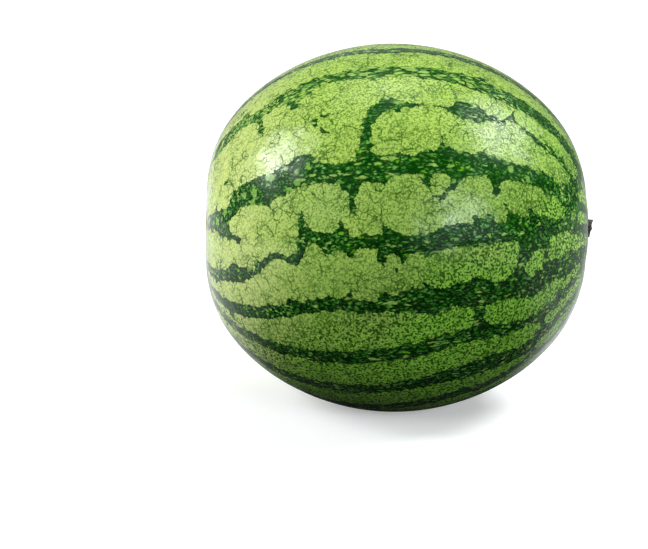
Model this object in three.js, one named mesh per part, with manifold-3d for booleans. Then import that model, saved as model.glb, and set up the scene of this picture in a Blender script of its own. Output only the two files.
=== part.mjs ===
// A whole striped watermelon lying on its side, with the dry stub that its stem left behind.
//
// Millimetres, +Z up. The fruit's axis runs along X, its stem end towards +X and a little lower than its blossom
// end. The origin is on the surface it lies on, in the middle of the small flat spot that it rests on.
//
// A place on the fruit is given by its latitude, from -90 degrees at the blossom end to +90 at the stem end, and by
// its turn about the axis: 0 faces -Y, and 90 degrees is the top.
import * as THREE from 'three';
import { mergeVertices } from 'three/addons/utils/BufferGeometryUtils.js';
import Module from 'manifold-3d';

const wasm = await Module();
wasm.setup();

// The fruit's body.
const HALF_LENGTH = 122; // from the middle to each blunt end
const RADIUS = 118;
const END_BLUNTING = 13.3; // how far each end is pressed in from a plain oval
const BLUNTING_POWER = 9; // how closely that pressing keeps to the ends
const SHOULDER_POWER = 1.09; // over 1 gives leaner shoulders than an oval's
const STEM_END_TAPER = 0.01; // the share by which the stem end is slimmer
const AXIS_PITCH = THREE.MathUtils.degToRad(1.5); // the stem end's dip

// Its ten faint lobes, the low folds round the stem, and what isn't even about it.
const LOBES = 10;
const LOBE_HEIGHT = 0.3;
const FOLD_HEIGHT = 0.3;
const FOLD_MIDDLE = 20; // how far from the axis they are highest
const FOLD_REACH = 12;
const LOBE_SWAY = 0.9; // how far a lobe wanders round the axis, in radians of its own wave
const UNEVEN_OVAL = 0.35;
const UNEVEN_SWELL = 0.3;

// The hollow at the stem end, and the collar of rind round the stem.
const HOLLOW_DEPTH = 3.2;
const HOLLOW_WIDTH = 15;
const COLLAR_HEIGHT = 1.2;
const COLLAR_RADIUS = 9;
const COLLAR_WIDTH = 2;

// The shallow dip at the blossom end, with the corky button that the flower left.
const DIP_DEPTH = 2.0;
const DIP_WIDTH = 17;
const BUTTON_HEIGHT = 1.5;
const BUTTON_RADIUS = 4.6;
const BUTTON_EDGE_POWER = 6;

// The flat spot that the fruit rests on, and the socket that the stem's root sits in.
const GROUND_SPOT_DEPTH = 2.4;
const SPOT_TOLERANCE = 0.01;
const SOCKET_RADIUS = 6.6;
const SOCKET_DEPTH = 2.6;
const SOCKET_SIDES = 32;
const FIT_GAP = 0.3;

// The stub of the stem, measured up from the bottom of its socket.
const ROOT_RADIUS = SOCKET_RADIUS - FIT_GAP;
const NECK_RADIUS = 5.4;
const STUB_HEIGHT = 8;
const STUB_LEAN = 0.8; // how far its broken end sits above its root
const STUB_SLANT = 1.5; // how much further out the upper side of that end reaches
const RIM_WIDTH = 1.5;
const PITH_DEPTH = 1.8;
const STUB_RIDGES = 5;
const RIDGE_DEPTH = 0.6;
const RIDGE_TWIST = 0.9; // radians from root to end
const WRINKLES = 13;
const WRINKLE_DEPTH = 0.18;
const RAGGED_RIM = 0.35;
const HORN_HEIGHT = 0.9; // the torn fibre that stands up from the rim
const HORN_TURN = 1.9;
const HORN_SPREAD = 0.3;

// How finely the two solids are divided.
const BODY_SIDES = 72;
const BODY_RINGS = 56;
const RING_CROWDING = 1.5; // over 1 brings the rings closer towards the ends
const STUB_SIDES = 40;

// A bump that is 1 at the middle and fades away at about the given width.
function bump(distance, width) {
  return Math.exp(-((distance / width) ** 2));
}

// The body's plain profile: how far along the axis, and how far from it, a latitude lies.
function profileAt(latitude) {
  const sine = Math.sin(latitude);
  const radial = RADIUS * Math.cos(latitude) ** SHOULDER_POWER * (1 - STEM_END_TAPER * sine);
  const axial = (HALF_LENGTH + END_BLUNTING) * sine - END_BLUNTING * sine ** BLUNTING_POWER;
  return { axial, radial };
}

// How far the hollow and collar, or the dip and button, move the rind along the axis.
function endRelief(radial, atStemEnd) {
  if (atStemEnd) {
    return COLLAR_HEIGHT * bump(radial - COLLAR_RADIUS, COLLAR_WIDTH) - HOLLOW_DEPTH * bump(radial, HOLLOW_WIDTH);
  }
  const button = BUTTON_HEIGHT * Math.exp(-((radial / BUTTON_RADIUS) ** BUTTON_EDGE_POWER));
  return DIP_DEPTH * bump(radial, DIP_WIDTH) - button;
}

// How far the rind stands out from the plain profile.
function swellAt(latitude, turn, radial) {
  const girth = Math.cos(latitude);
  const sine = Math.sin(latitude);
  const foldHeight = latitude > 0 ? FOLD_HEIGHT * bump(radial - FOLD_MIDDLE, FOLD_REACH) : 0;
  const lobeHeight = LOBE_HEIGHT * girth + foldHeight;
  const lobes = lobeHeight * Math.cos(LOBES * turn + LOBE_SWAY * Math.sin(2 * latitude));
  const oval = UNEVEN_OVAL * Math.cos(2 * turn + 0.6) * girth;
  const swell = UNEVEN_SWELL * Math.sin(3 * turn - 1 + 2 * sine) * girth;
  return lobes + oval + swell;
}

function rindAt(latitude, turn) {
  const { axial, radial } = profileAt(latitude);
  const swell = swellAt(latitude, turn, radial) * Math.min(1, radial / HOLLOW_WIDTH);
  return {
    axial: axial + swell * Math.sin(latitude) + endRelief(radial, latitude > 0),
    radial: radial + swell * Math.cos(latitude),
  };
}

// A closed body of revolution about X, whose points are then moved. pointAt(row, turn) gives where one lies.
function turned(rows, sides, pointAt) {
  const profile = [];
  for (let row = 0; row <= rows; row += 1) {
    profile.push(new THREE.Vector2(row === 0 || row === rows ? 0 : 1, row));
  }
  const geometry = new THREE.LatheGeometry(profile, sides);
  const position = geometry.getAttribute('position');
  for (let side = 0; side <= sides; side += 1) {
    const turn = (-2 * Math.PI * (side % sides)) / sides;
    for (let row = 0; row <= rows; row += 1) {
      const { axial, radial } = pointAt(row, turn);
      position.setXYZ(side * (rows + 1) + row, axial, -radial * Math.cos(turn), radial * Math.sin(turn));
    }
  }
  return geometry;
}

// A manifold-3d solid of a closed geometry.
function solidOf(geometry) {
  const bare = geometry.clone();
  bare.deleteAttribute('normal');
  bare.deleteAttribute('uv');
  const merged = mergeVertices(bare);
  const corners = merged.index.array;
  const kept = [];
  for (let i = 0; i < corners.length; i += 3) {
    const [a, b, c] = [corners[i], corners[i + 1], corners[i + 2]];
    if (a !== b && b !== c && c !== a) kept.push(a, b, c);
  }
  const vertProperties = merged.getAttribute('position').array;
  return new wasm.Manifold(new wasm.Mesh({ numProp: 3, vertProperties, triVerts: new Uint32Array(kept) }));
}

function geometryOf(solid) {
  const { vertProperties, triVerts } = solid.getMesh();
  const geometry = new THREE.BufferGeometry();
  geometry.setAttribute('position', new THREE.BufferAttribute(vertProperties, 3));
  geometry.setIndex(new THREE.BufferAttribute(triVerts, 1));
  geometry.computeVertexNormals();
  return geometry;
}

// Where the middle of the stem end's hollow lies on the axis.
const hollowFloor = rindAt(Math.PI / 2, 0).axial;

// The height of the resting plane, once the axis has its pitch.
function restingHeight(geometry) {
  const pitched = geometry.clone().rotateY(AXIS_PITCH);
  pitched.computeBoundingBox();
  return pitched.boundingBox.min.z + GROUND_SPOT_DEPTH;
}

// The middle of the flat spot, by area, once the axis has its pitch.
function middleOfSpot(geometry, groundHeight) {
  const pitched = geometry.clone().rotateY(AXIS_PITCH);
  const position = pitched.getAttribute('position');
  const corners = pitched.index.array;
  const triangle = new THREE.Triangle();
  const middle = new THREE.Vector3();
  const sum = new THREE.Vector3();
  let area = 0;
  for (let i = 0; i < corners.length; i += 3) {
    triangle.setFromAttributeAndIndices(position, corners[i], corners[i + 1], corners[i + 2]);
    const top = Math.max(triangle.a.z, triangle.b.z, triangle.c.z);
    if (top < groundHeight + SPOT_TOLERANCE) {
      sum.addScaledVector(triangle.getMidpoint(middle), triangle.getArea());
      area += triangle.getArea();
    }
  }
  return sum.divideScalar(area);
}

function fruitGeometry() {
  const latitudeOf = (row) => {
    const along = (2 * row) / BODY_RINGS - 1;
    return Math.sign(along) * (Math.PI / 2) * (1 - (1 - Math.abs(along)) ** RING_CROWDING);
  };
  return turned(BODY_RINGS, BODY_SIDES, (row, turn) => {
    const atPole = row === 0 || row === BODY_RINGS;
    const { axial, radial } = rindAt(latitudeOf(row), turn);
    return { axial, radial: atPole ? 0 : radial };
  });
}

// The body with the stem's socket bored into it and its flat spot cut off level.
function makeFruit(plain, groundHeight) {
  const socket = new THREE.CylinderGeometry(SOCKET_RADIUS, SOCKET_RADIUS, 2 * SOCKET_DEPTH, SOCKET_SIDES);
  socket.rotateZ(-Math.PI / 2).translate(hollowFloor, 0, 0);
  const slab = new THREE.BoxGeometry(4 * HALF_LENGTH, 4 * RADIUS, 2 * RADIUS);
  slab.translate(0, 0, groundHeight - RADIUS).rotateY(-AXIS_PITCH);
  const solid = solidOf(plain).subtract(solidOf(socket)).subtract(solidOf(slab));
  const rind = new THREE.MeshStandardMaterial({ color: 0x8fb85a, roughness: 0.35, metalness: 0 });
  const mesh = new THREE.Mesh(geometryOf(solid), rind);
  mesh.name = 'fruit';
  return mesh;
}

// The stub's plain profile, from the middle of its root, up its side, over its rim and down into its pith.
function stubProfile() {
  const side = [];
  const steps = 12;
  for (let i = 0; i <= steps; i += 1) {
    const share = i / steps;
    const waist = NECK_RADIUS + (ROOT_RADIUS - NECK_RADIUS) * (1 - share) ** 3;
    side.push({ height: share * STUB_HEIGHT, radial: waist });
  }
  const rim = { height: STUB_HEIGHT, radial: NECK_RADIUS - RIM_WIDTH };
  const pithWall = { height: STUB_HEIGHT - PITH_DEPTH, radial: NECK_RADIUS - 1.6 * RIM_WIDTH };
  const rootMiddle = { height: 0, radial: 0 };
  const pithMiddle = { height: STUB_HEIGHT - PITH_DEPTH, radial: 0 };
  return [rootMiddle, ...side, rim, pithWall, pithMiddle];
}

// The dry stub: ridged and twisted like the stem it was, wrinkled, and torn off at a slant.
function makeStemStub() {
  const profile = stubProfile();
  const clear = SOCKET_DEPTH / STUB_HEIGHT; // the share of it that stays plain, down in the socket
  const geometry = turned(profile.length - 1, STUB_SIDES, (row, turn) => {
    const { height, radial } = profile[row];
    const share = height / STUB_HEIGHT;
    const shown = THREE.MathUtils.smoothstep(share, clear, 2 * clear);
    const ridges = RIDGE_DEPTH * (1 - Math.abs(Math.cos((STUB_RIDGES / 2) * (turn - RIDGE_TWIST * share))));
    const wrinkles = WRINKLE_DEPTH * Math.sin(WRINKLES * turn + 5 * share);
    const torn = RAGGED_RIM * (Math.sin(4 * turn + 0.8) + 0.6 * Math.sin(9 * turn));
    const fromHorn = Math.atan2(Math.sin(turn - HORN_TURN), Math.cos(turn - HORN_TURN));
    const horn = HORN_HEIGHT * bump(fromHorn, HORN_SPREAD);
    const edge = (radial / NECK_RADIUS) * share ** 6;
    const slant = STUB_SLANT * Math.sin(turn);
    return {
      axial: height + edge * (torn + horn + slant),
      radial: radial - (radial / NECK_RADIUS) * shown * (ridges + wrinkles),
    };
  });
  const position = geometry.getAttribute('position');
  for (let i = 0; i < position.count; i += 1) {
    const share = position.getX(i) / STUB_HEIGHT;
    position.setZ(i, position.getZ(i) + STUB_LEAN * Math.max(0, share - clear) ** 2);
  }
  const bark = new THREE.MeshStandardMaterial({ color: 0x4a3626, roughness: 0.85, metalness: 0 });
  const mesh = new THREE.Mesh(geometryOf(solidOf(geometry)), bark);
  mesh.name = 'stem_stub';
  mesh.position.x = hollowFloor - SOCKET_DEPTH + FIT_GAP;
  return mesh;
}

const plain = fruitGeometry();
const groundHeight = restingHeight(plain);
const fruit = makeFruit(plain, groundHeight);

const melon = new THREE.Group();
melon.add(fruit, makeStemStub());
melon.rotation.y = AXIS_PITCH;
melon.position.copy(middleOfSpot(fruit.geometry, groundHeight)).negate();

export default melon;
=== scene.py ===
"""The looks of a whole striped watermelon, lying on its side on a pale studio floor.

Lengths are in millimetres until a mesh is made, when they go over to the frame's metres. A place on the
rind is given by its latitude, from -90 degrees at the blossom end to +90 at the stem end, and by its turn
about the fruit's axis: 0 faces -Y, and 90 degrees is the top.
"""

import logging
import math
from dataclasses import dataclass, field
from enum import Enum
from functools import reduce
from typing import Union

import bpy
import numpy as np
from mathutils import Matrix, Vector
from numpy.typing import NDArray


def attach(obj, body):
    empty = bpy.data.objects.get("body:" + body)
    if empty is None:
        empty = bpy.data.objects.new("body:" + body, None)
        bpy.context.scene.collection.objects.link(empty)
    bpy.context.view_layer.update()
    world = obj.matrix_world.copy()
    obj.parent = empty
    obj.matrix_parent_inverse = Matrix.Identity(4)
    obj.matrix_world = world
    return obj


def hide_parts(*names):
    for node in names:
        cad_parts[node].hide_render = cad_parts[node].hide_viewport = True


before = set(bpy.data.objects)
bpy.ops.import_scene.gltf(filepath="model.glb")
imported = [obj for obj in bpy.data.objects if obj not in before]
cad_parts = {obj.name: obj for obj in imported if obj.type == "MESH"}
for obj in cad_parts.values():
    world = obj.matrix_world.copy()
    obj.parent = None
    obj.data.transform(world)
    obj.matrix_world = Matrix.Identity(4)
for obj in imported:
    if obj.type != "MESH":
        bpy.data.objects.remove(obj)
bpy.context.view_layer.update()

log = logging.getLogger("watermelon")

Array = NDArray[np.float64]
Numbers = NDArray[np.int64]
Rgb = tuple[float, float, float]
Knot = tuple[float, float, float]
Span = tuple[float, float]
Ramp = tuple[float, float, float, float]
Mottle = tuple[float, float, float]
Socket = bpy.types.NodeSocket
Plug = Union[Socket, float, Rgb]

MM = 0.001
BLACK = (0.0, 0.0, 0.0)
WHITE = (1.0, 1.0, 1.0)
SEED = 20
CUSP_SEED = 21


# ---- Small helpers ----


def paint(red: int, green: int, blue: int) -> Rgb:
    """A colour as shaders take it, from the 0 to 255 values that a screen shows."""
    shares = (channel / 255 for channel in (red, green, blue))
    return tuple(s / 12.92 if s <= 0.04045 else ((s + 0.055) / 1.055) ** 2.4 for s in shares)


def bump(distance: Union[Array, float], width: float) -> Union[Array, float]:
    """A bump that is 1 where the distance is 0 and fades away at about the given width."""
    return np.exp(-((distance / width) ** 2))


def ease(value: Array, low: float, high: float) -> Array:
    """Rises smoothly from 0 at low to 1 at high."""
    share = np.clip((value - low) / (high - low), 0, 1)
    return share * share * (3 - 2 * share)


# ---- Wiring of shader nodes ----


class Sum(Enum):
    """The sums that a Math node works out here."""

    ADD = "ADD"
    LESS = "SUBTRACT"
    TIMES = "MULTIPLY"
    OVER = "DIVIDE"
    SIZE = "ABSOLUTE"
    HIGHER = "MAXIMUM"


class Sheet:
    """One node tree, and the means to place nodes in it and wire them.

    Args:
        tree: The node tree of a material, a world or a group.
    """

    columns: int = 12
    pitch: tuple[int, int] = (220, -260)

    def __init__(self, tree: bpy.types.NodeTree) -> None:
        """Takes the tree, whose nodes are placed from left to right."""
        self.tree = tree
        self.placed = 0

    def add(self, kind: str, **settings: object) -> bpy.types.Node:
        """Places a node.

        Args:
            kind: The node's type, such as ShaderNodeMath.
            **settings: Values for the node's own properties.

        Returns:
            The new node.
        """
        node = self.tree.nodes.new(kind)
        for name, value in settings.items():
            setattr(node, name, value)
        row, column = divmod(self.placed, self.columns)
        node.location = (self.pitch[0] * column, self.pitch[1] * row)
        self.placed += 1
        return node

    def feed(self, socket: Socket, plug: Plug) -> None:
        """Feeds an input from another node's output, or sets its own value.

        Args:
            socket: The input.
            plug: An output, a number or a colour.
        """
        if isinstance(plug, bpy.types.NodeSocket):
            self.tree.links.new(plug, socket)
        elif isinstance(plug, tuple) and len(socket.default_value) == 4:
            socket.default_value = (*plug, 1.0)
        else:
            socket.default_value = plug

    def sum(self, kind: Sum, first: Plug, second: Plug = 0.0) -> Socket:
        """Works out a sum of two values.

        Args:
            kind: The sum.
            first: Its first value.
            second: Its second value.

        Returns:
            The result.
        """
        node = self.add("ShaderNodeMath", operation=kind.value)
        self.feed(node.inputs[0], first)
        self.feed(node.inputs[1], second)
        return node.outputs[0]

    def times(self, *plugs: Plug) -> Socket:
        """The product of some values."""
        return reduce(lambda first, second: self.sum(Sum.TIMES, first, second), plugs)

    def highest(self, *plugs: Plug) -> Socket:
        """The highest of some values."""
        return reduce(lambda first, second: self.sum(Sum.HIGHER, first, second), plugs)

    def rise(self, value: Plug, low: Plug, high: Plug, to_low: Plug = 0.0, to_high: Plug = 1.0) -> Socket:
        """Takes a value smoothly from one level to another.

        Args:
            value: The value.
            low: Where it starts to rise, or to fall if this is above high.
            high: Where it ends.
            to_low: The result at low and before it.
            to_high: The result at high and past it.

        Returns:
            The result.
        """
        node = self.add("ShaderNodeMapRange", interpolation_type="SMOOTHSTEP")
        names = ("Value", "From Min", "From Max", "To Min", "To Max")
        for name, plug in zip(names, (value, low, high, to_low, to_high)):
            self.feed(node.inputs[name], plug)
        return node.outputs["Result"]

    def blend(self, share: Plug, first: Plug, second: Plug) -> Socket:
        """Mixes two colours.

        Args:
            share: How much of the second colour shows, from 0 to 1.
            first: The first colour.
            second: The second colour.

        Returns:
            The mixed colour.
        """
        node = self.add("ShaderNodeMix", data_type="RGBA")
        factor, colours = node.inputs[0], node.inputs[6:8]
        self.feed(factor, share)
        self.feed(colours[0], first)
        self.feed(colours[1], second)
        return node.outputs[2]

    def field(self, name: str) -> Socket:
        """A number that the mesh carries at its points or corners."""
        return self.add("ShaderNodeAttribute", attribute_name=name).outputs["Fac"]

    def place(self) -> Socket:
        """The place on the object, in millimetres."""
        coordinates = self.add("ShaderNodeTexCoord")
        return self.stretch(coordinates.outputs["Object"], (1 / MM, 1 / MM, 1 / MM))

    def apart(self, at: Socket) -> tuple[Socket, Socket, Socket]:
        """Takes a place apart.

        Args:
            at: The place.

        Returns:
            Its X, Y and Z.
        """
        node = self.add("ShaderNodeSeparateXYZ")
        self.feed(node.inputs[0], at)
        return tuple(node.outputs)

    def stretch(self, at: Socket, by: Rgb) -> Socket:
        """Scales a place by its own amount along each axis.

        Args:
            at: The place.
            by: The three amounts.

        Returns:
            The scaled place.
        """
        node = self.add("ShaderNodeVectorMath", operation="MULTIPLY")
        self.feed(node.inputs[0], at)
        node.inputs[1].default_value = by
        return node.outputs[0]

    def noise(self, at: Socket, size: Plug, detail: float) -> Socket:
        """Makes a smooth noise about 0.5.

        Args:
            at: The place.
            size: About how large its swells are.
            detail: How many finer layers it has.

        Returns:
            The noise.
        """
        node = self.add("ShaderNodeTexNoise")
        self.feed(node.inputs["Vector"], at)
        self.feed(node.inputs["Scale"], self.sum(Sum.OVER, 1.0, size))
        node.inputs["Detail"].default_value = detail
        return node.outputs["Fac"]

    def group(self, group: bpy.types.NodeTree, **inputs: Plug) -> bpy.types.Node:
        """Places a node group.

        Args:
            group: The group.
            **inputs: Its inputs by name, in lower case.

        Returns:
            The group's node.
        """
        node = self.add("ShaderNodeGroup", node_tree=group)
        for name, plug in inputs.items():
            self.feed(node.inputs[name.capitalize()], plug)
        return node


class Effects:
    """The node groups that more than one finish uses."""

    sway_detail: float = 2.0
    sway_roughness: float = 0.6
    sway_pace: float = 1.2
    mottle_detail: float = 3.0

    def __init__(self) -> None:
        """Builds each group once."""
        self._cells = self._build_cells()
        self._mottle = self._build_mottle()

    def cells(self, sheet: Sheet, at: Socket, size: float, wobble: float) -> bpy.types.Node:
        """The group of cells at a place, with the cells' size and how far their walls stray."""
        return sheet.group(self._cells, at=at, size=size, wobble=wobble)

    def patches(self, sheet: Sheet, at: Socket, mottle: Mottle) -> Socket:
        """Soft patches at a place, from 0 to 1, with their size and the noise at which they start and end."""
        size, low, high = mottle
        return sheet.group(self._mottle, at=at, size=size, low=low, high=high).outputs["Patch"]

    @staticmethod
    def _group(name: str, inputs: dict[str, str], outputs: dict[str, str]) -> tuple[Sheet, Socket, Socket]:
        """Starts a group.

        Args:
            name: The group's name.
            inputs: The type of each named input.
            outputs: The type of each named output.

        Returns:
            Its sheet, the outputs of its input node, and the inputs of its output node.
        """
        tree = bpy.data.node_groups.new(name, "ShaderNodeTree")
        for way, sockets in (("INPUT", inputs), ("OUTPUT", outputs)):
            for label, kind in sockets.items():
                tree.interface.new_socket(name=label, in_out=way, socket_type="NodeSocket" + kind)
        sheet = Sheet(tree)
        return sheet, sheet.add("NodeGroupInput").outputs, sheet.add("NodeGroupOutput").inputs

    def _build_cells(self) -> bpy.types.NodeTree:
        """Cells that fill the space side by side, as in a skin or in cork.

        Returns:
            A group. Depth is how far a place is from its cell's middle, and Edge how far it is from the
            cell's edge, both as shares of the cells' size. Shade is a value that each cell draws for
            itself.
        """
        sheet, given, made = self._group("cells", {"At": "Vector", "Size": "Float", "Wobble": "Float"},
                                         {"Depth": "Float", "Edge": "Float", "Shade": "Float"})
        noise = sheet.add("ShaderNodeTexNoise")
        sheet.feed(noise.inputs["Vector"], given["At"])
        sheet.feed(noise.inputs["Scale"], sheet.sum(Sum.OVER, self.sway_pace, given["Size"]))
        noise.inputs["Detail"].default_value = self.sway_detail
        noise.inputs["Roughness"].default_value = self.sway_roughness
        centred = sheet.add("ShaderNodeVectorMath", operation="SUBTRACT")
        sheet.feed(centred.inputs[0], noise.outputs["Color"])
        centred.inputs[1].default_value = (0.5, 0.5, 0.5)
        sway = sheet.add("ShaderNodeVectorMath", operation="SCALE")
        sheet.feed(sway.inputs[0], centred.outputs[0])
        sheet.feed(sway.inputs["Scale"], given["Wobble"])
        moved = sheet.add("ShaderNodeVectorMath", operation="ADD")
        sheet.feed(moved.inputs[0], given["At"])
        sheet.feed(moved.inputs[1], sway.outputs[0])
        scale = sheet.sum(Sum.OVER, 1.0, given["Size"])
        middles = sheet.add("ShaderNodeTexVoronoi", feature="F1")
        edges = sheet.add("ShaderNodeTexVoronoi", feature="DISTANCE_TO_EDGE")
        for voronoi in (middles, edges):
            sheet.feed(voronoi.inputs["Vector"], moved.outputs[0])
            sheet.feed(voronoi.inputs["Scale"], scale)
        sheet.feed(made["Depth"], middles.outputs["Distance"])
        sheet.feed(made["Edge"], edges.outputs["Distance"])
        split = sheet.add("ShaderNodeSeparateColor")
        sheet.feed(split.inputs[0], middles.outputs["Color"])
        sheet.feed(made["Shade"], split.outputs[0])
        return sheet.tree

    def _build_mottle(self) -> bpy.types.NodeTree:
        """Soft patches.

        Returns:
            A group whose Patch goes from 0 to 1 where the noise of the given size rises from Low to High.
        """
        sheet, given, made = self._group(
            "mottle", {"At": "Vector", "Size": "Float", "Low": "Float", "High": "Float"}, {"Patch": "Float"})
        swells = sheet.noise(given["At"], given["Size"], self.mottle_detail)
        sheet.feed(made["Patch"], sheet.rise(swells, given["Low"], given["High"]))
        return sheet.tree


# ---- Finishes ----


def new_material(name: str) -> tuple[bpy.types.Material, Sheet, bpy.types.Node]:
    """A material with one Principled shader in it.

    Args:
        name: The material's name.

    Returns:
        The material, its sheet and its shader's node.
    """
    material = bpy.data.materials.new(name)
    material.use_nodes = True
    material.node_tree.nodes.clear()
    sheet = Sheet(material.node_tree)
    shader = sheet.add("ShaderNodeBsdfPrincipled")
    output = sheet.add("ShaderNodeOutputMaterial")
    sheet.feed(output.inputs["Surface"], shader.outputs["BSDF"])
    return material, sheet, shader


def raise_surface(sheet: Sheet, shader: bpy.types.Node, height: Plug) -> None:
    """Gives a surface a relief.

    Args:
        sheet: The material's sheet.
        shader: Its shader.
        height: The relief's height, in millimetres.
    """
    relief = sheet.add("ShaderNodeBump")
    relief.inputs["Strength"].default_value = 1.0
    relief.inputs["Distance"].default_value = MM
    sheet.feed(relief.inputs["Height"], height)
    sheet.feed(shader.inputs["Normal"], relief.outputs["Normal"])


class RindNodes:
    """The nodes that both the light lobes and the dark stripes read.

    Args:
        sheet: The rind material's sheet.
        effects: The shared node groups.
        grain: The size of the fine cells, and how far their walls stray.
        net: The same for the broad cells.
        grit: The size of the grit.
    """

    grit_detail: float = 0.5

    def __init__(self, sheet: Sheet, effects: Effects, grain: Span, net: Span, grit: float) -> None:
        """Places the nodes."""
        self.sheet = sheet
        self.effects = effects
        self.at = sheet.place()
        self.along, _, self.height = sheet.apart(self.at)
        self.grain = self.cells(*grain)
        self.net = self.cells(*net)
        self.grit = sheet.noise(self.at, grit, self.grit_detail)

    def cells(self, size: float, wobble: float) -> bpy.types.Node:
        """Cells of a size on the rind, with how far their walls stray."""
        return self.effects.cells(self.sheet, self.at, size, wobble)

    def patches(self, mottle: Mottle) -> Socket:
        """Soft patches on the rind."""
        return self.effects.patches(self.sheet, self.at, mottle)


@dataclass(frozen=True)
class LightLobes:
    """The light lobes, with their grain, their web and the cracks between them.

    Sizes are in millimetres. A span is where a value starts and ends its rise, and a ramp adds what it
    rises from and to. A mottle is the size of its patches and the span of its noise. A lobe is riper and
    its grain coarser the further it lies towards the stem end and the ground, which is measured as its X
    less a share of its Z.
    """

    # pale is partly painted light: the whitish wash of light and reflection on the blossom end, which faces
    # the left lamps.
    pale: Rgb = paint(204, 216, 134)
    yellow: Rgb = paint(172, 202, 92)
    plain: Rgb = paint(160, 194, 90)
    green: Rgb = paint(146, 206, 70)
    gap: Rgb = paint(46, 98, 0)
    gap_deep: Rgb = paint(14, 64, 0)
    crack: Rgb = paint(34, 88, 2)
    height_share: float = 1.8
    coarse_reach: Span = (-250.0, -130.0)
    ripe_reach: Ramp = (-400.0, -40.0, 0.0, 1.5)
    ripe_mottle: Mottle = (42.0, 0.3, 0.7)
    ripe_drift: float = 0.5
    plain_reach: Span = (0.1, 0.9)
    green_reach: Span = (0.9, 1.7)
    green_by_length: Ramp = (60.0, 118.0, 1.0, 0.35)
    pale_and_lit_by_length: Ramp = (-45.0, -115.0, 0.0, 0.75)
    pore_depth: Span = (0.42, 0.72)
    pores_by_coarse: Ramp = (0.0, 1.0, 0.25, 0.6)
    pore_mottle: Mottle = (5.0, 0.36, 0.64)
    pores_by_mottle: Ramp = (0.0, 1.0, 0.55, 1.0)
    dot_reach: Span = (0.5, 0.4)
    dots_by_coarse: Ramp = (0.3, 1.0, 0.65, 0.4)
    speckles_by_length: Ramp = (-105.0, -35.0, 0.55, 1.0)
    worm_size: float = 1.4
    worm_detail: float = 0.5
    worm_reach: Span = (0.49, 0.43)
    worms_by_coarse: Ramp = (0.05, 0.7, 0.1, 0.9)
    web: Span = (3.0, 3.2)
    web_line: Span = (0.11, 0.01)
    web_mottle: Mottle = (9.0, 0.46, 0.62)
    web_by_coarse: Ramp = (0.3, 1.0, 0.7, 0.15)
    net_line: Span = (0.08, 0.01)
    net_mottle: Mottle = (12.0, 0.48, 0.62)
    net_by_coarse: Ramp = (0.4, 1.0, 1.0, 0.3)
    crack_wave: float = 3.0
    crack_wave_detail: float = 2.0
    crack_sway: float = 3.4
    crack_line: Span = (0.55, 0.1)
    crack_depth: float = 0.9

    def colour(self, nodes: RindNodes) -> Socket:
        """Colours the light lobes.

        Args:
            nodes: The rind's shared nodes.

        Returns:
            The colour.
        """
        sheet = nodes.sheet
        low = sheet.sum(Sum.LESS, nodes.along, sheet.times(nodes.height, self.height_share))
        coarse = sheet.rise(low, *self.coarse_reach)
        tone = self._grained(nodes, coarse, self._tone(nodes, low))
        tone = sheet.blend(self._web(nodes, coarse), tone, self.gap)
        return sheet.blend(sheet.times(self._cracks(nodes, coarse), self.crack_depth), tone, self.crack)

    def _tone(self, nodes: RindNodes, low: Socket) -> Socket:
        """The colour between the gaps.

        Args:
            nodes: The rind's shared nodes.
            low: How far a place lies towards the stem end and the ground.

        Returns:
            The colour, from pale at the blossom end over yellow to green. The pale end is partly the rind's
            own tone and partly painted light: the whitish wash of light and reflection from the left lamps on
            that end.
        """
        sheet = nodes.sheet
        drift = sheet.times(nodes.patches(self.ripe_mottle), self.ripe_drift)
        ripe = sheet.sum(Sum.ADD, sheet.rise(low, *self.ripe_reach), drift)
        tone = sheet.blend(sheet.rise(ripe, *self.plain_reach), self.yellow, self.plain)
        green = sheet.times(sheet.rise(ripe, *self.green_reach),
                            sheet.rise(nodes.along, *self.green_by_length))
        tone = sheet.blend(green, tone, self.green)
        # Paler towards the blossom end: partly the rind's own tone, partly painted light and reflection from
        # the left lamps.
        return sheet.blend(sheet.rise(nodes.along, *self.pale_and_lit_by_length), tone, self.pale)

    def _grained(self, nodes: RindNodes, coarse: Socket, tone: Socket) -> Socket:
        """The grain of pores, dots and winding gaps.

        Args:
            nodes: The rind's shared nodes.
            coarse: How coarse the grain is.
            tone: The colour between the gaps.

        Returns:
            The colour with its grain.
        """
        sheet = nodes.sheet
        pores = sheet.times(sheet.rise(nodes.grain.outputs["Depth"], *self.pore_depth),
                            sheet.rise(coarse, *self.pores_by_coarse),
                            sheet.rise(nodes.patches(self.pore_mottle), *self.pores_by_mottle))
        dots = sheet.times(sheet.rise(nodes.grit, *self.dot_reach), sheet.rise(coarse, *self.dots_by_coarse))
        strength = sheet.rise(nodes.along, *self.speckles_by_length)
        tone = sheet.blend(sheet.times(sheet.highest(pores, dots), strength), tone, self.gap)
        winding = sheet.noise(nodes.at, self.worm_size, self.worm_detail)
        worms = sheet.times(sheet.rise(winding, *self.worm_reach), sheet.rise(coarse, *self.worms_by_coarse))
        return sheet.blend(worms, tone, self.gap_deep)

    def _web(self, nodes: RindNodes, coarse: Socket) -> Socket:
        """The web of hairlines, from 0 to 1.

        Args:
            nodes: The rind's shared nodes.
            coarse: How coarse the grain is.

        Returns:
            How much of a hairline shows.
        """
        sheet = nodes.sheet
        line = sheet.rise(nodes.cells(*self.web).outputs["Edge"], *self.web_line)
        return sheet.times(line, nodes.patches(self.web_mottle), sheet.rise(coarse, *self.web_by_coarse))

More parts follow.
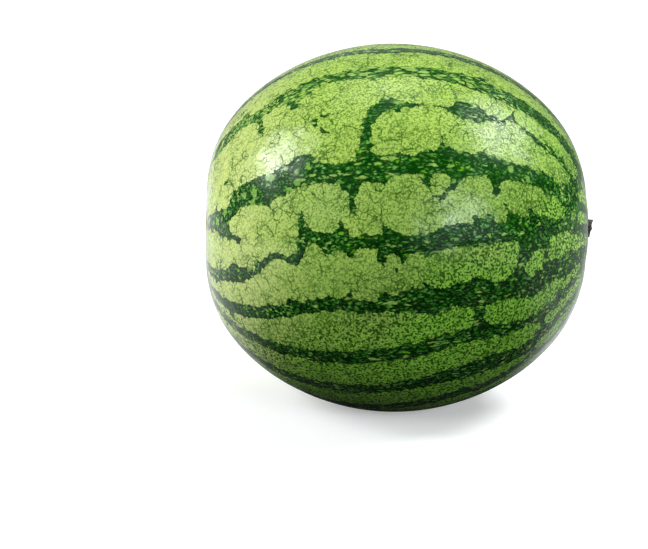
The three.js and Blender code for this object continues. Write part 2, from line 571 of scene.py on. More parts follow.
    def _cracks(self, nodes: RindNodes, coarse: Socket) -> Socket:
        """The cracks between the lobes, and the lines of the net, from 0 to 1.

        Args:
            nodes: The rind's shared nodes.
            coarse: How coarse the grain is.

        Returns:
            How much of a crack shows.
        """
        sheet = nodes.sheet
        net = sheet.times(sheet.rise(nodes.net.outputs["Edge"], *self.net_line),
                          nodes.patches(self.net_mottle), sheet.rise(coarse, *self.net_by_coarse))
        wave = sheet.noise(nodes.at, self.crack_wave, self.crack_wave_detail)
        swayed = sheet.times(sheet.sum(Sum.LESS, wave, 0.5), self.crack_sway)
        away = sheet.sum(Sum.SIZE, sheet.sum(Sum.ADD, sheet.field("crack_offset"), swayed))
        crack = sheet.times(sheet.rise(away, *self.crack_line), sheet.field("crack_strength"))
        return sheet.highest(net, crack)


@dataclass(frozen=True)
class DarkStripes:
    """The dark stripes, with their lace of lighter cells, and the strands and islands of light in them.

    Spans, ramps and mottles are as in LightLobes. The lace is drawn out along the fruit, and the strands
    more so.
    """

    plain: Rgb = paint(12, 84, 0)
    deep: Rgb = paint(0, 18, 0)
    deep_upper: Rgb = paint(0, 48, 0)
    cell: Rgb = paint(112, 178, 78)
    bright: Rgb = paint(108, 180, 24)
    island: Rgb = paint(132, 180, 78)
    strand: Rgb = paint(160, 194, 90)
    lace: Span = (2.8, 2.4)
    lace_stretch: Rgb = (0.5, 1.0, 1.0)
    lace_shade: Span = (0.3, 1.0)
    lace_middle: Span = (0.75, 0.15)
    lace_share: float = 0.5
    lace_line: Span = (0.17, 0.03)
    lace_line_depth: float = 0.9
    bright_shade: Span = (0.9, 0.97)
    fleck_size: float = 1.5
    fleck_detail: float = 1.0
    fleck_light: Span = (0.52, 0.64)
    fleck_share: float = 0.75
    fleck_dark: Span = (0.5, 0.4)
    fleck_depth: float = 0.9
    ring_outside: Span = (0.05, 0.1)
    ring_inside: Span = (0.26, 0.17)
    ring_shade: Span = (0.4, 0.8)
    ring_share: float = 0.6
    broad_mottle: Mottle = (12.0, 0.36, 0.64)
    lighter_by_broad: Ramp = (0.0, 1.0, 0.4, 1.0)
    near_mottle: Mottle = (4.5, 0.38, 0.62)
    lighter_by_near: Ramp = (0.0, 1.0, 0.5, 1.3)
    lighter_by_strands: Ramp = (0.1, 0.5, 1.0, 1.3)
    strands: Span = (2.0, 1.2)
    strand_stretch: Rgb = (0.22, 1.0, 1.0)
    strand_drift: float = 0.2
    strand_chosen: Span = (1.02, 1.1)
    strand_edge: Span = (0.05, 0.2)
    strand_share: float = 0.9
    strand_line: Span = (0.14, 0.02)
    strand_line_depth: Ramp = (0.12, 0.4, 0.0, 0.9)
    island_chosen: Span = (1.06, 1.1)
    island_edge: Span = (0.55, 0.36)
    island_share: float = 0.8
    rim: Span = (-2.4, -0.4)
    rim_depth: float = 0.45
    deep_by_islands: Ramp = (0.0, 1.0, 1.0, 0.35)
    deep_by_strands: Ramp = (0.1, 0.5, 1.0, 0.65)
    upper_reach: Span = (95.0, 175.0)

    def colour(self, nodes: RindNodes, depth: Socket) -> Socket:
        """Colours the dark stripes.

        Args:
            nodes: The rind's shared nodes.
            depth: How deep a place lies in the light, in millimetres, which is below 0 in a stripe.

        Returns:
            The colour.
        """
        sheet = nodes.sheet
        stranded = sheet.field("strands")
        drawn = sheet.stretch(nodes.at, self.lace_stretch)
        lace = nodes.effects.cells(sheet, drawn, *self.lace)
        flecks = sheet.noise(drawn, self.fleck_size, self.fleck_detail)
        broad = nodes.patches(self.broad_mottle)
        strands = nodes.effects.cells(sheet, sheet.stretch(nodes.at, self.strand_stretch), *self.strands)
        picked = sheet.sum(Sum.ADD, strands.outputs["Shade"], stranded)
        picked = sheet.sum(Sum.ADD, picked, sheet.times(broad, self.strand_drift))
        strand = sheet.times(sheet.rise(picked, *self.strand_chosen),
                             sheet.rise(strands.outputs["Edge"], *self.strand_edge))
        chosen = sheet.sum(Sum.ADD, nodes.net.outputs["Shade"], sheet.field("lace"))
        island = sheet.times(sheet.rise(chosen, *self.island_chosen),
                             sheet.rise(nodes.net.outputs["Depth"], *self.island_edge))
        tone = self._laced(nodes, lace, flecks, broad, stranded)
        tone = sheet.blend(sheet.times(strand, self.strand_share), tone, self.strand)
        tone = sheet.blend(sheet.times(island, self.island_share), tone, self.island)
        outline = sheet.times(sheet.rise(lace.outputs["Edge"], *self.lace_line), self.lace_line_depth)
        fine = sheet.times(sheet.rise(flecks, *self.fleck_dark), self.fleck_depth)
        rim = sheet.times(sheet.rise(depth, *self.rim), self.rim_depth)
        deep = sheet.times(sheet.highest(outline, fine, rim),
                           sheet.rise(sheet.highest(island, strand), *self.deep_by_islands))
        between = sheet.times(sheet.rise(strands.outputs["Edge"], *self.strand_line),
                              sheet.rise(stranded, *self.strand_line_depth))
        deep = sheet.times(sheet.highest(deep, between), sheet.rise(stranded, *self.deep_by_strands))
        deepest = sheet.blend(sheet.rise(nodes.height, *self.upper_reach), self.deep, self.deep_upper)
        return sheet.blend(deep, tone, deepest)

    def _laced(self, nodes: RindNodes, lace: bpy.types.Node, flecks: Socket, broad: Socket,
               stranded: Socket) -> Socket:
        """The stripes' green, opened by lighter cells, flecks and rings.

        Args:
            nodes: The rind's shared nodes.
            lace: The cells of the lace.
            flecks: A noise drawn out along the fruit.
            broad: Broad patches, in which the lace is lighter.
            stranded: How readily the stripe opens into strands.

        Returns:
            The colour.
        """
        sheet = nodes.sheet
        shade = lace.outputs["Shade"]
        middle = sheet.rise(lace.outputs["Depth"], *self.lace_middle)
        lighter = sheet.times(sheet.rise(shade, *self.lace_shade), middle, self.lace_share)
        specks = sheet.times(sheet.rise(flecks, *self.fleck_light), self.fleck_share)
        edge = nodes.net.outputs["Edge"]
        ring = sheet.times(sheet.rise(edge, *self.ring_outside), sheet.rise(edge, *self.ring_inside),
                           sheet.rise(nodes.net.outputs["Shade"], *self.ring_shade), self.ring_share)
        lighter = sheet.highest(sheet.sum(Sum.ADD, lighter, specks), ring)
        opened = sheet.times(lighter, sheet.rise(broad, *self.lighter_by_broad),
                             sheet.rise(nodes.patches(self.near_mottle), *self.lighter_by_near),
                             sheet.rise(stranded, *self.lighter_by_strands))
        tone = sheet.blend(opened, self.plain, self.cell)
        return sheet.blend(sheet.times(sheet.rise(shade, *self.bright_shade), middle), tone, self.bright)


@dataclass(frozen=True)
class RindFinish:
    """The waxy striped rind. Sizes are in millimetres, and spans, ramps and mottles are as in LightLobes.

    It reads what RindPattern and Fruit work out for each point: how deep it lies in a light lobe, how far
    it is from a crack between lobes and how strong that crack is, how readily a stripe opens into islands
    and strands there, and how much of it is ground spot or cork.
    """

    lobes: LightLobes = LightLobes()
    stripes: DarkStripes = DarkStripes()
    ground_spot: Rgb = paint(222, 208, 140)
    ground_mottle: Mottle = (14.0, 0.3, 0.7)
    ground_ragged: float = 0.35
    ground_reach: Ramp = (0.45, 1.05, 0.0, 0.93)
    cork: Rgb = paint(150, 124, 84)
    cork_shadow: float = 0.35
    flakes: Span = (0.9, 0.4)
    flake_depth: Span = (0.2, 0.8)
    grain: Span = (1.8, 1.2)
    net: Span = (5.4, 2.8)
    grit_size: float = 1.25
    grain_bite: float = 1.5
    net_bite: float = 1.7
    edge_bias: float = 0.8
    edge_reach: Span = (-0.1, 0.25)
    roughness: float = 0.15
    roughness_spread: float = 0.08
    roughness_mottle: Mottle = (11.0, 0.38, 0.62)
    gloss: float = 0.3
    bloom: float = 0.02
    bloom_spread: float = 0.4
    wave_mottle: Mottle = (17.0, 0.2, 0.8)
    wave_height: float = 0.3
    pore_relief: Ramp = (0.35, 0.6, -0.02, 0.0)

    def make(self, effects: Effects) -> bpy.types.Material:
        """Builds the material.

        Args:
            effects: The shared node groups.

        Returns:
            The material.
        """
        material, sheet, shader = new_material("rind")
        nodes = RindNodes(sheet, effects, self.grain, self.net, self.grit_size)
        depth = self._depth_in_light(nodes)
        light, dark = self.lobes.colour(nodes), self.stripes.colour(nodes, depth)
        striped = sheet.blend(sheet.rise(depth, *self.edge_reach), dark, light)
        sheet.feed(shader.inputs["Base Color"], self._spots(nodes, striped))
        dull = self.roughness + self.roughness_spread
        patches = nodes.patches(self.roughness_mottle)
        sheet.feed(shader.inputs["Roughness"], sheet.rise(patches, 0.0, 1.0, self.roughness, dull))
        shader.inputs["Sheen Weight"].default_value = self.bloom
        shader.inputs["Sheen Roughness"].default_value = self.bloom_spread
        shader.inputs["Specular IOR Level"].default_value = self.gloss
        wave = sheet.times(nodes.patches(self.wave_mottle), self.wave_height)
        raise_surface(sheet, shader, sheet.sum(Sum.ADD, wave, sheet.rise(nodes.grit, *self.pore_relief)))
        return material

    def _depth_in_light(self, nodes: RindNodes) -> Socket:
        """How deep a place lies in the light, once two sizes of cells have bitten into its edge.

        Args:
            nodes: The rind's shared nodes.

        Returns:
            The depth in millimetres, which is below 0 in a stripe.
        """
        sheet = nodes.sheet
        fine = sheet.times(nodes.grain.outputs["Depth"], self.grain_bite)
        broad = sheet.times(nodes.net.outputs["Depth"], self.net_bite)
        bites = sheet.sum(Sum.LESS, sheet.sum(Sum.ADD, fine, broad), self.edge_bias)
        return sheet.sum(Sum.LESS, sheet.field("lobe_depth"), bites)

    def _spots(self, nodes: RindNodes, striped: Socket) -> Socket:
        """Turns the rind pale where the fruit lay on the ground, and corky at its two ends.

        Args:
            nodes: The rind's shared nodes.
            striped: The striped colour.

        Returns:
            The colour with its spots.
        """
        sheet = nodes.sheet
        ragged = sheet.times(nodes.patches(self.ground_mottle), self.ground_ragged)
        edge = sheet.sum(Sum.ADD, sheet.field("ground_spot"), ragged)
        colour = sheet.blend(sheet.rise(edge, *self.ground_reach), striped, self.ground_spot)
        depth = sheet.rise(nodes.cells(*self.flakes).outputs["Depth"], *self.flake_depth)
        cork = sheet.blend(depth, self.cork, tuple(self.cork_shadow * channel for channel in self.cork))
        return sheet.blend(sheet.field("cork"), colour, cork)


@dataclass(frozen=True)
class CorkFinish:
    """The dry fibrous tissue of the stem's stub. Its values are as in LightLobes."""

    dark: Rgb = paint(16, 11, 8)
    mid: Rgb = paint(48, 36, 26)
    pale: Rgb = paint(122, 102, 76)
    roughness: float = 0.82
    patch_roughness: float = 0.67
    patches: Mottle = (3.2, 0.35, 0.65)
    fibres: Span = (0.55, 0.3)
    fibre_stretch: Rgb = (0.16, 1.0, 1.0)
    fibre_depth: Span = (0.7, 0.15)
    fibre_shade: Span = (0.2, 1.0)
    fibre_height: float = 0.12

    def make(self, effects: Effects) -> bpy.types.Material:
        """Builds the material.

        Args:
            effects: The shared node groups.

        Returns:
            The material.
        """
        material, sheet, shader = new_material("stem_cork")
        at = sheet.place()
        fibres = effects.cells(sheet, sheet.stretch(at, self.fibre_stretch), *self.fibres)
        patches = effects.patches(sheet, at, self.patches)
        strand = sheet.rise(fibres.outputs["Depth"], *self.fibre_depth)
        tone = sheet.blend(strand, self.dark, self.mid)
        worn = sheet.times(sheet.field("worn"), sheet.rise(fibres.outputs["Shade"], *self.fibre_shade))
        tone = sheet.blend(worn, tone, self.pale)
        sheet.feed(shader.inputs["Base Color"], sheet.blend(patches, tone, self.dark))
        roughness = sheet.rise(patches, 0.0, 1.0, self.roughness, self.patch_roughness)
        sheet.feed(shader.inputs["Roughness"], roughness)
        raise_surface(sheet, shader, sheet.times(strand, self.fibre_height))
        return material


@dataclass(frozen=True)
class FloorFinish:
    """The matte white surface under the fruit.

    To the camera it glows a little, as a light table does. It throws less light back from in front of the
    fruit than from behind it, as if a dark sheet lay under the camera, and is mirrored less far to the stem
    end's side.
    """

    white: Rgb = paint(236, 236, 236)
    off_white: Rgb = paint(233, 233, 233)
    clouds: Mottle = (300.0, 0.2, 0.8)
    glow: float = 0.33
    front_bounce: Rgb = paint(46, 46, 46)
    back_bounce: Rgb = paint(225, 225, 225)
    bounce_reach: Span = (55.0, 200.0)
    mirrored_loss: Ramp = (150.0, 320.0, 0.0, 0.55)
    roughness: float = 0.9
    gloss: float = 0.1

    def make(self, effects: Effects) -> bpy.types.Material:
        """Builds the material.

        Args:
            effects: The shared node groups.

        Returns:
            The material.
        """
        material, sheet, shader = new_material("pale_floor")
        at = sheet.place()
        along, across, _ = sheet.apart(at)
        rays = sheet.add("ShaderNodeLightPath").outputs
        seen = rays["Is Camera Ray"]
        pale = sheet.blend(effects.patches(sheet, at, self.clouds), self.white, self.off_white)
        outward = sheet.sum(Sum.ADD, sheet.sum(Sum.SIZE, along), across)
        bounce = sheet.blend(sheet.rise(outward, *self.bounce_reach), self.front_bounce, self.back_bounce)
        loss = sheet.times(rays["Is Glossy Ray"], sheet.rise(along, *self.mirrored_loss))
        bounce = sheet.blend(loss, bounce, BLACK)
        sheet.feed(shader.inputs["Base Color"], sheet.blend(seen, bounce, pale))
        sheet.feed(shader.inputs["Emission Strength"], sheet.times(seen, self.glow))
        shader.inputs["Emission Color"].default_value = (*WHITE, 1.0)
        shader.inputs["Roughness"].default_value = self.roughness
        shader.inputs["Specular IOR Level"].default_value = self.gloss
        return material


# ---- Shape ----


@dataclass(frozen=True)
class FruitForm:
    """The fruit's shape, in millimetres in its own frame: its axis along X, its stem end towards +X."""

    half_length: float = 122.0
    radius: float = 118.0
    end_blunting: float = 13.3
    blunting_power: int = 9
    shoulder_power: float = 1.09
    stem_end_taper: float = 0.01
    axis_pitch: float = math.radians(1.5)
    middle: tuple[float, float, float] = (0.15, 1.217, 115.133)
    lobes: int = 10
    lobe_height: float = 0.3
    lobe_sway: float = 0.9
    fold_height: float = 0.3
    fold_middle: float = 20.0
    fold_reach: float = 12.0
    uneven_oval: float = 0.35
    oval_turn: float = 0.6
    uneven_swell: float = 0.3
    swell_turn: float = -1.0
    swell_twist: float = 2.0
    hollow_depth: float = 3.2
    hollow_width: float = 15.0
    collar_height: float = 1.2
    collar_radius: float = 9.0
    collar_width: float = 2.0
    dip_depth: float = 2.0
    dip_width: float = 17.0
    button_height: float = 1.5
    button_radius: float = 4.6
    button_edge_power: int = 6
    ground_rounding: float = 0.5

    def plain(self, latitude: Array, turn: Array) -> tuple[Array, Array]:
        """How far along the axis, and how far from it, the plain profile lies.

        Args:
            latitude: Latitudes in radians.
            turn: Turns in radians, which set only the result's shape.

        Returns:
            The axial and radial distances.
        """
        sine = np.sin(latitude) + 0 * turn
        girth = np.abs(np.cos(latitude))
        radial = self.radius * girth**self.shoulder_power * (1 - self.stem_end_taper * sine)
        pressed = self.end_blunting * np.sign(sine) * np.abs(sine) ** self.blunting_power
        return (self.half_length + self.end_blunting) * sine - pressed, radial

    def plain_point(self, latitude: Array, turn: Array) -> Array:
        """The points of the plain profile at latitudes and turns in radians, one row each."""
        axial, radial = self.plain(latitude, turn)
        return np.stack([axial, -radial * np.cos(turn), radial * np.sin(turn)], axis=-1)

    def rind_point(self, latitude: Array, turn: Array) -> Array:
        """Gives the rind's points, with its swells, hollow, collar and button.

        Args:
            latitude: Latitudes in radians.
            turn: Turns in radians.

        Returns:
            The points in the fruit's own frame, one row each.
        """
        axial, radial = self.plain(latitude, turn)
        girth, sine = np.abs(np.cos(latitude)), np.sin(latitude)
        at_stem = sine > 0
        fold = np.where(at_stem, self.fold_height * bump(radial - self.fold_middle, self.fold_reach), 0)
        wave = np.cos(self.lobes * turn + self.lobe_sway * np.sin(2 * latitude))
        swell = (self.lobe_height * girth + fold) * wave
        swell = swell + self.uneven_oval * np.cos(2 * turn + self.oval_turn) * girth
        start = self.swell_turn + self.swell_twist * sine
        swell = swell + self.uneven_swell * np.sin(3 * turn + start) * girth
        swell = swell * np.minimum(1, radial / self.hollow_width)
        collar = self.collar_height * bump(radial - self.collar_radius, self.collar_width)
        hollow = collar - self.hollow_depth * bump(radial, self.hollow_width)
        button = self.button_height * np.exp(-((radial / self.button_radius) ** self.button_edge_power))
        dip = self.dip_depth * bump(radial, self.dip_width) - button
        axial = axial + swell * sine + np.where(at_stem, hollow, dip)
        radial = radial + swell * girth
        return np.stack([axial, -radial * np.cos(turn), radial * np.sin(turn)], axis=-1)

    def in_frame(self, points: Array) -> Array:
        """Pitches points and moves them to where the fruit rests.

        Args:
            points: Points of the fruit's own frame.

        Returns:
            The same points in the scene's frame, still in millimetres.
        """
        cosine, sine = math.cos(self.axis_pitch), math.sin(self.axis_pitch)
        x, y, z = points[:, 0], points[:, 1], points[:, 2]
        pitched = np.stack([cosine * x + sine * z, y, cosine * z - sine * x], axis=-1)
        return pitched + np.array(self.middle)

    def rested(self, points: Array) -> Array:
        """Presses the points below the resting plane flat onto it, with a rounded edge.

        Args:
            points: Points of the scene's frame, in millimetres.

        Returns:
            The pressed points.
        """
        soft = self.ground_rounding
        height = points[:, 2]
        rounded = np.where(height < -soft, 0, (height + soft) ** 2 / (4 * soft))
        return np.column_stack([points[:, :2], np.where(height > soft, height, rounded)])


def cube_sphere(cells: int) -> tuple[Array, Numbers]:
    """A sphere of even quads, made from a cube's six faces.

    Args:
        cells: The quads along each edge of the cube.

    Returns:
        The unit directions of its points, and the four corners of each quad, seen anticlockwise from outside.
    """
    steps = np.tan(np.linspace(-math.pi / 4, math.pi / 4, cells + 1))
    along, up = np.meshgrid(steps, steps, indexing="ij")
    ones = np.ones_like(along)
    faces = []
    for axis in range(3):
        for side in (1.0, -1.0):
            face = np.empty((*along.shape, 3))
            face[..., axis] = side * ones
            face[..., (axis + 1) % 3] = along * side
            face[..., (axis + 2) % 3] = up
            faces.append(face.reshape(-1, 3))
    points = np.vstack(faces)
    points /= np.linalg.norm(points, axis=1, keepdims=True)
    _, first, which = np.unique(np.round(points, 7), axis=0, return_index=True, return_inverse=True)
    index = np.arange((cells + 1) ** 2).reshape(cells + 1, cells + 1)
    quad = np.stack([index[:-1, :-1], index[1:, :-1], index[1:, 1:], index[:-1, 1:]], axis=-1).reshape(-1, 4)
    quads = np.vstack([quad + face * (cells + 1) ** 2 for face in range(6)])
    return points[first], which.reshape(-1)[quads]


# ---- Pattern ----


@dataclass
class RindPattern:
    """The stripes, as dark strokes along the fruit, and the light lobes that crowd between them.

    A stroke is a path of knots: a latitude and a turn in degrees, and half the stroke's width in
    millimetres. A half width of 0 or less lets lobes reach or cross the path, so that only the notch where
    they meet shows. A placed lobe is a latitude and a turn in degrees, and its radius. Lobes are then drawn
    at random wherever the strokes leave room.

    The far side's stripes are drawn at random too. Each starts from a turn of its own, leans and wanders, and
    throws out branches and cusps, whose three half widths are those at their root, their bend and their tip.
    """

    form: FruitForm
    strokes: list[list[Knot]] = field(default_factory=lambda: [
        # Over the top.
        [(-82, 108, 1.5), (-70, 99, 2.5), (-58, 95, 3), (-45, 92, 3.5), (-35, 90, 3.5), (-28, 89, 4),
         (-20, 87.5, 4), (-10, 85.5, 4.5), (-6, 84.5, 5), (0, 85, 5), (10, 86.5, 5), (20, 86.5, 5.5),
         (30, 87, 5.5), (40, 86, 5.5), (50, 84, 5), (57, 82, 4), (66, 77, 3), (80, 66, 2.5)],
        # The upper stripe, its fork and its two cusps.
        [(-82, 98, 0.6), (-75, 88, 0.7), (-68, 79, 0.8), (-63, 72.5, 1.1), (-58, 69, 1.6), (-50, 68.3, 2.6),
         (-45, 67, 3.2), (-41, 66.5, 4.2), (-35, 68, 4), (-30, 67, 5.5), (-25, 69.5, 4.4), (-12, 68.4, 4.8),
         (0, 68.3, 5), (8, 68.4, 5.4), (20, 67.6, 6.4), (27, 66.7, 6.2), (35, 66.3, 5.5), (42, 65, 5.5),
         (48, 63, 5), (55, 60, 4.5), (60, 57, 4), (68, 51, 3), (80, 40, 2.5)],
        [(-62, 80, 0.6), (-56, 75, 0.9), (-50, 73, 1.1), (-46, 74, 0.7)],
        [(-42, 65, 3), (-41.5, 61, 0.9), (-41, 56, 0.3), (-40.5, 52, 0.1)],
        [(-31, 66, 4), (-30.5, 63, 2.2), (-30.5, 60, 0.6)],
        # The broken stripe above the main one.
        [(-12, 32, 4), (-11.5, 38, 2.4), (-11, 43, 2), (-10, 48, 2.8), (-8, 51, 3.4), (-6, 53, 3.6),
         (-3, 53.5, 3), (1, 53, 1), (5, 53, 0.1), (9, 53, 0.2), (12, 53, 2.2), (15, 53.5, 5.6),
         (18, 53, 5.8), (21, 52.5, 2.8), (24, 52.5, 1.2), (26, 53, 0.5), (28, 55, 0.3), (29.5, 57.5, 0.2)],
        [(29.5, 56, 0.5), (33, 54, 0.5), (36, 51.5, 0.8), (39, 50, 1.6), (42, 49, 2.8), (44, 48.5, 2.4),
         (47, 46.5, 0.9), (50, 44.5, 1), (53, 42, 1.8), (56, 41.5, 3), (60, 44, 1.5)],
        [(55, 41, 2.6), (52.5, 37, 3.4), (51, 33, 4), (50, 29, 4.4), (50, 24, 3.4), (49.8, 19, 3.2),
         (50, 16, 3.4)],
        # The main stripe, its lower fork and its spur.
        [(-82, 12, 1.6), (-74, 13.5, 3), (-66, 16, 4), (-60, 17, 4.6), (-56, 19, 4.4), (-52, 23.5, 5.6),
         (-48, 27, 7), (-44, 27.5, 8), (-40, 27.5, 8), (-36, 29, 8), (-31, 31.5, 8), (-28, 33, 8.5),
         (-25, 31, 6), (-20, 30.5, 5), (-15, 30, 6), (-10, 31.5, 6.5), (0, 32, 6), (5, 33, 6.5),
         (10, 33.5, 8), (14, 33.5, 7), (20, 33.5, 6.5), (26, 33.5, 5.5), (32, 33.5, 5), (38, 32.5, 5),
         (44, 30.5, 5), (48, 30, 6.6), (52, 30, 5.5), (56, 29.5, 3.4), (60, 28.5, 2.2), (68, 27, 1.8),
         (80, 24, 1.5)],
        [(-62, 13, 2.4), (-59, 9.5, 2), (-55, 8, 1.8), (-51, 6, 1.2), (-49, 6.5, 0.6)],
        [(-15, 28, 3.5), (-14.5, 24, 2.6), (-14.5, 20, 1.2), (-14, 17, 0.5)],
        # The stripe below it, broken on the left, with its spur and its two bridges.
        [(-82, -45, 2), (-72, -34, 2.5), (-62, -24, 3), (-56, -16, 3.5), (-51, -11, 5), (-47, -9.5, 3.5),
         (-44, -7, 2.2), (-42, -4, 1.8), (-40, -2, 1.5), (-37.5, 1, 2.2), (-35, 2.2, 1.8), (-32, 1.3, 1.5),
         (-29.5, 2, 1.8), (-28.5, 5, 1.2), (-28.5, 9, 1.8), (-26, 10, 1.8), (-22, 8.5, 4), (-18, 8, 5),
         (-14, 8, 3.2), (-10, 9, 2), (-7, 8.5, 3.5), (-3, 7.5, 4.5), (0, 8.5, 4.5), (5, 9, 5.5),
         (10, 10.5, 6), (15, 11.5, 6.5), (20, 11.5, 6), (25, 12, 5), (30, 13.5, 7), (35, 12.5, 8.5),
         (40, 13.5, 6), (45, 15.3, 3.8), (50, 16, 3.8), (55, 15.6, 3), (60, 15, 2.4), (68, 14, 2),
         (80, 10, 2)],
        [(-28.5, 9, 1.8), (-28, 14, 0.8), (-29, 18, 0.4)],
        [(35, 10, 6), (34, 6, 4.5), (31.5, 2, 1.5), (30, -2, 1.2)],
        [(40.5, 8, 1.2), (40.5, 2, 1.5), (41, -2, 2.5)],
        # Cusps where two lobes meet at the main stripe's lower edge, and round the lobe beside it.
        [(4.5, 30, 1.2), (4.5, 27, 0.4), (5.5, 23.5, 0.2), (8, 22.6, 0.6), (10, 23.5, 0.3)],
        [(11.5, 30, 1.6), (11.8, 26, 0.4)],
        [(23, 30, 2), (23.3, 27, 1.2), (23.5, 24.5, 0.2)],
        [(-7, 28.5, 1), (-7, 25.5, 0.1)],
        # Cusps at the upper edge of the stripe below.
        [(-18, 10, 1.4), (-18, 12.5, 0.7), (-18, 15, 0)],
        [(-5.5, 9.5, 1.8), (-6.2, 12.5, 1.1), (-7, 15.5, 0.1)],
        [(-4.5, 11, 1), (-5, 13.5, 0)],
        [(27, 15, 1.2), (27, 17.5, 0.4), (27, 20, 0)],
        [(33, 15, 3), (34.5, 18, 1.4), (34.5, 20.5, 0.2)],
        [(19, 15, 0.4), (20.5, 18.2, 0.1), (22.2, 16, 0.2)],
        # Cusps at its lower edge.
        [(-22.3, 7.5, 1.4), (-22, 4.5, 0)],
        [(-15.5, 7.5, 1.5), (-14.5, 3.6, 0.1)],
        [(-7, 7.5, 2), (-6.6, 4.5, 1), (-6.6, 1.5, 0.2)],
        [(-2, 6.5, 1.4), (-1.6, 2.5, 0.4), (-2.6, -0.6, 0)],
        [(6, 7.5, 1), (6, 5.2, 0)],
        # Cusps at the upper edge of the low stripe, and cracks in the broadest light band.
        [(-14.5, -9.5, 1), (-14.5, -6.5, 0.1)],
        [(-5.5, -8.5, 1.2), (-6, -5, 0.1)],
        [(4.5, -6, 1.2), (4.5, -3.2, 0)],
        [(1, -6, 1), (1, -4.2, 0)],
        [(18, -5, 1.4), (18, -1.5, 0)],
        [(-27, 49.4, -0.6), (-24.5, 51.5, -0.3), (-22.5, 52, 0), (-19.5, 52, -0.2), (-16.5, 52, -0.6)],
        [(-24.5, 49.5, -0.6), (-23.5, 46, -0.8), (-21, 44.2, -0.7), (-19, 44.2, -0.9)],
        [(-60, 38, -0.3), (-57, 38.5, -0.1), (-55, 40.5, -0.2)],
        [(8.5, 42.5, -0.3), (9, 38.5, -0.2)],
        # The low stripes, down to the underside, with their bridges.
        [(-80, -62, 2), (-60, -40, 3), (-40, -24, 3.5), (-30, -17, 4), (-20, -12, 3.5), (-10, -11.5, 3.5),
         (-4, -10, 4), (0, -9.5, 6), (5, -9.5, 7), (10, -8.5, 7), (15, -7.5, 7), (20, -7, 7), (25, -7.5, 6),
         (30, -7.5, 6.5), (35, -8, 8), (40, -6, 6), (45, -4.5, 6.5), (50, -3, 7), (55, -2.5, 5.5),
         (60, -3, 3.5), (68, -3, 2.5), (80, -2, 2)],
        [(-80, -78, 2), (-60, -55, 3), (-40, -41, 3.5), (-20, -33, 4), (0, -27, 5), (10, -24, 5),
         (20, -22.5, 4.5), (25, -23.5, 4), (30, -24, 4), (35, -24.3, 3), (40, -24.5, 3.5), (45, -21.5, 3.2),
         (50, -19, 4), (54, -17, 3), (60, -14, 2), (70, -9, 2)],
        [(19.5, -11, 2.2), (20, -16, 1.6), (20, -21, 3)],
        [(40.5, -26, 1.8), (41, -30, 1.2), (41, -34, 1.4)],
        [(-78, -90, 2), (-60, -70, 3), (-30, -55, 4), (-10, -47, 4.5), (10, -40, 5.5), (20, -39, 7),
         (25, -38.5, 7), (30, -39.5, 5.5), (35, -39.5, 5.5), (40, -36.5, 5), (45, -34, 3), (50, -33, 2.8),
         (55, -31.5, 2.5), (62, -28, 2), (74, -20, 2)],
        [(37, -42, 2.5), (38, -46, 1.5), (38.5, -50, 2)],
        [(-76, -100, 2), (-60, -86, 3), (-30, -72, 4), (-10, -63, 4.5), (10, -56, 5), (18, -53.5, 5.5),
         (24, -54.5, 6), (30, -53, 4.5), (36, -51, 3.5), (42, -49, 3), (50, -47.5, 2.5), (58, -44, 2),
         (74, -35, 2)],
        [(-70, -104, 2.5), (-40, -92, 3.5), (-20, -84, 4), (0, -75, 5), (15, -69, 5), (25, -67, 4.5),
         (35, -66, 4), (45, -63, 3), (55, -58, 2.5), (74, -45, 2)],
    ])
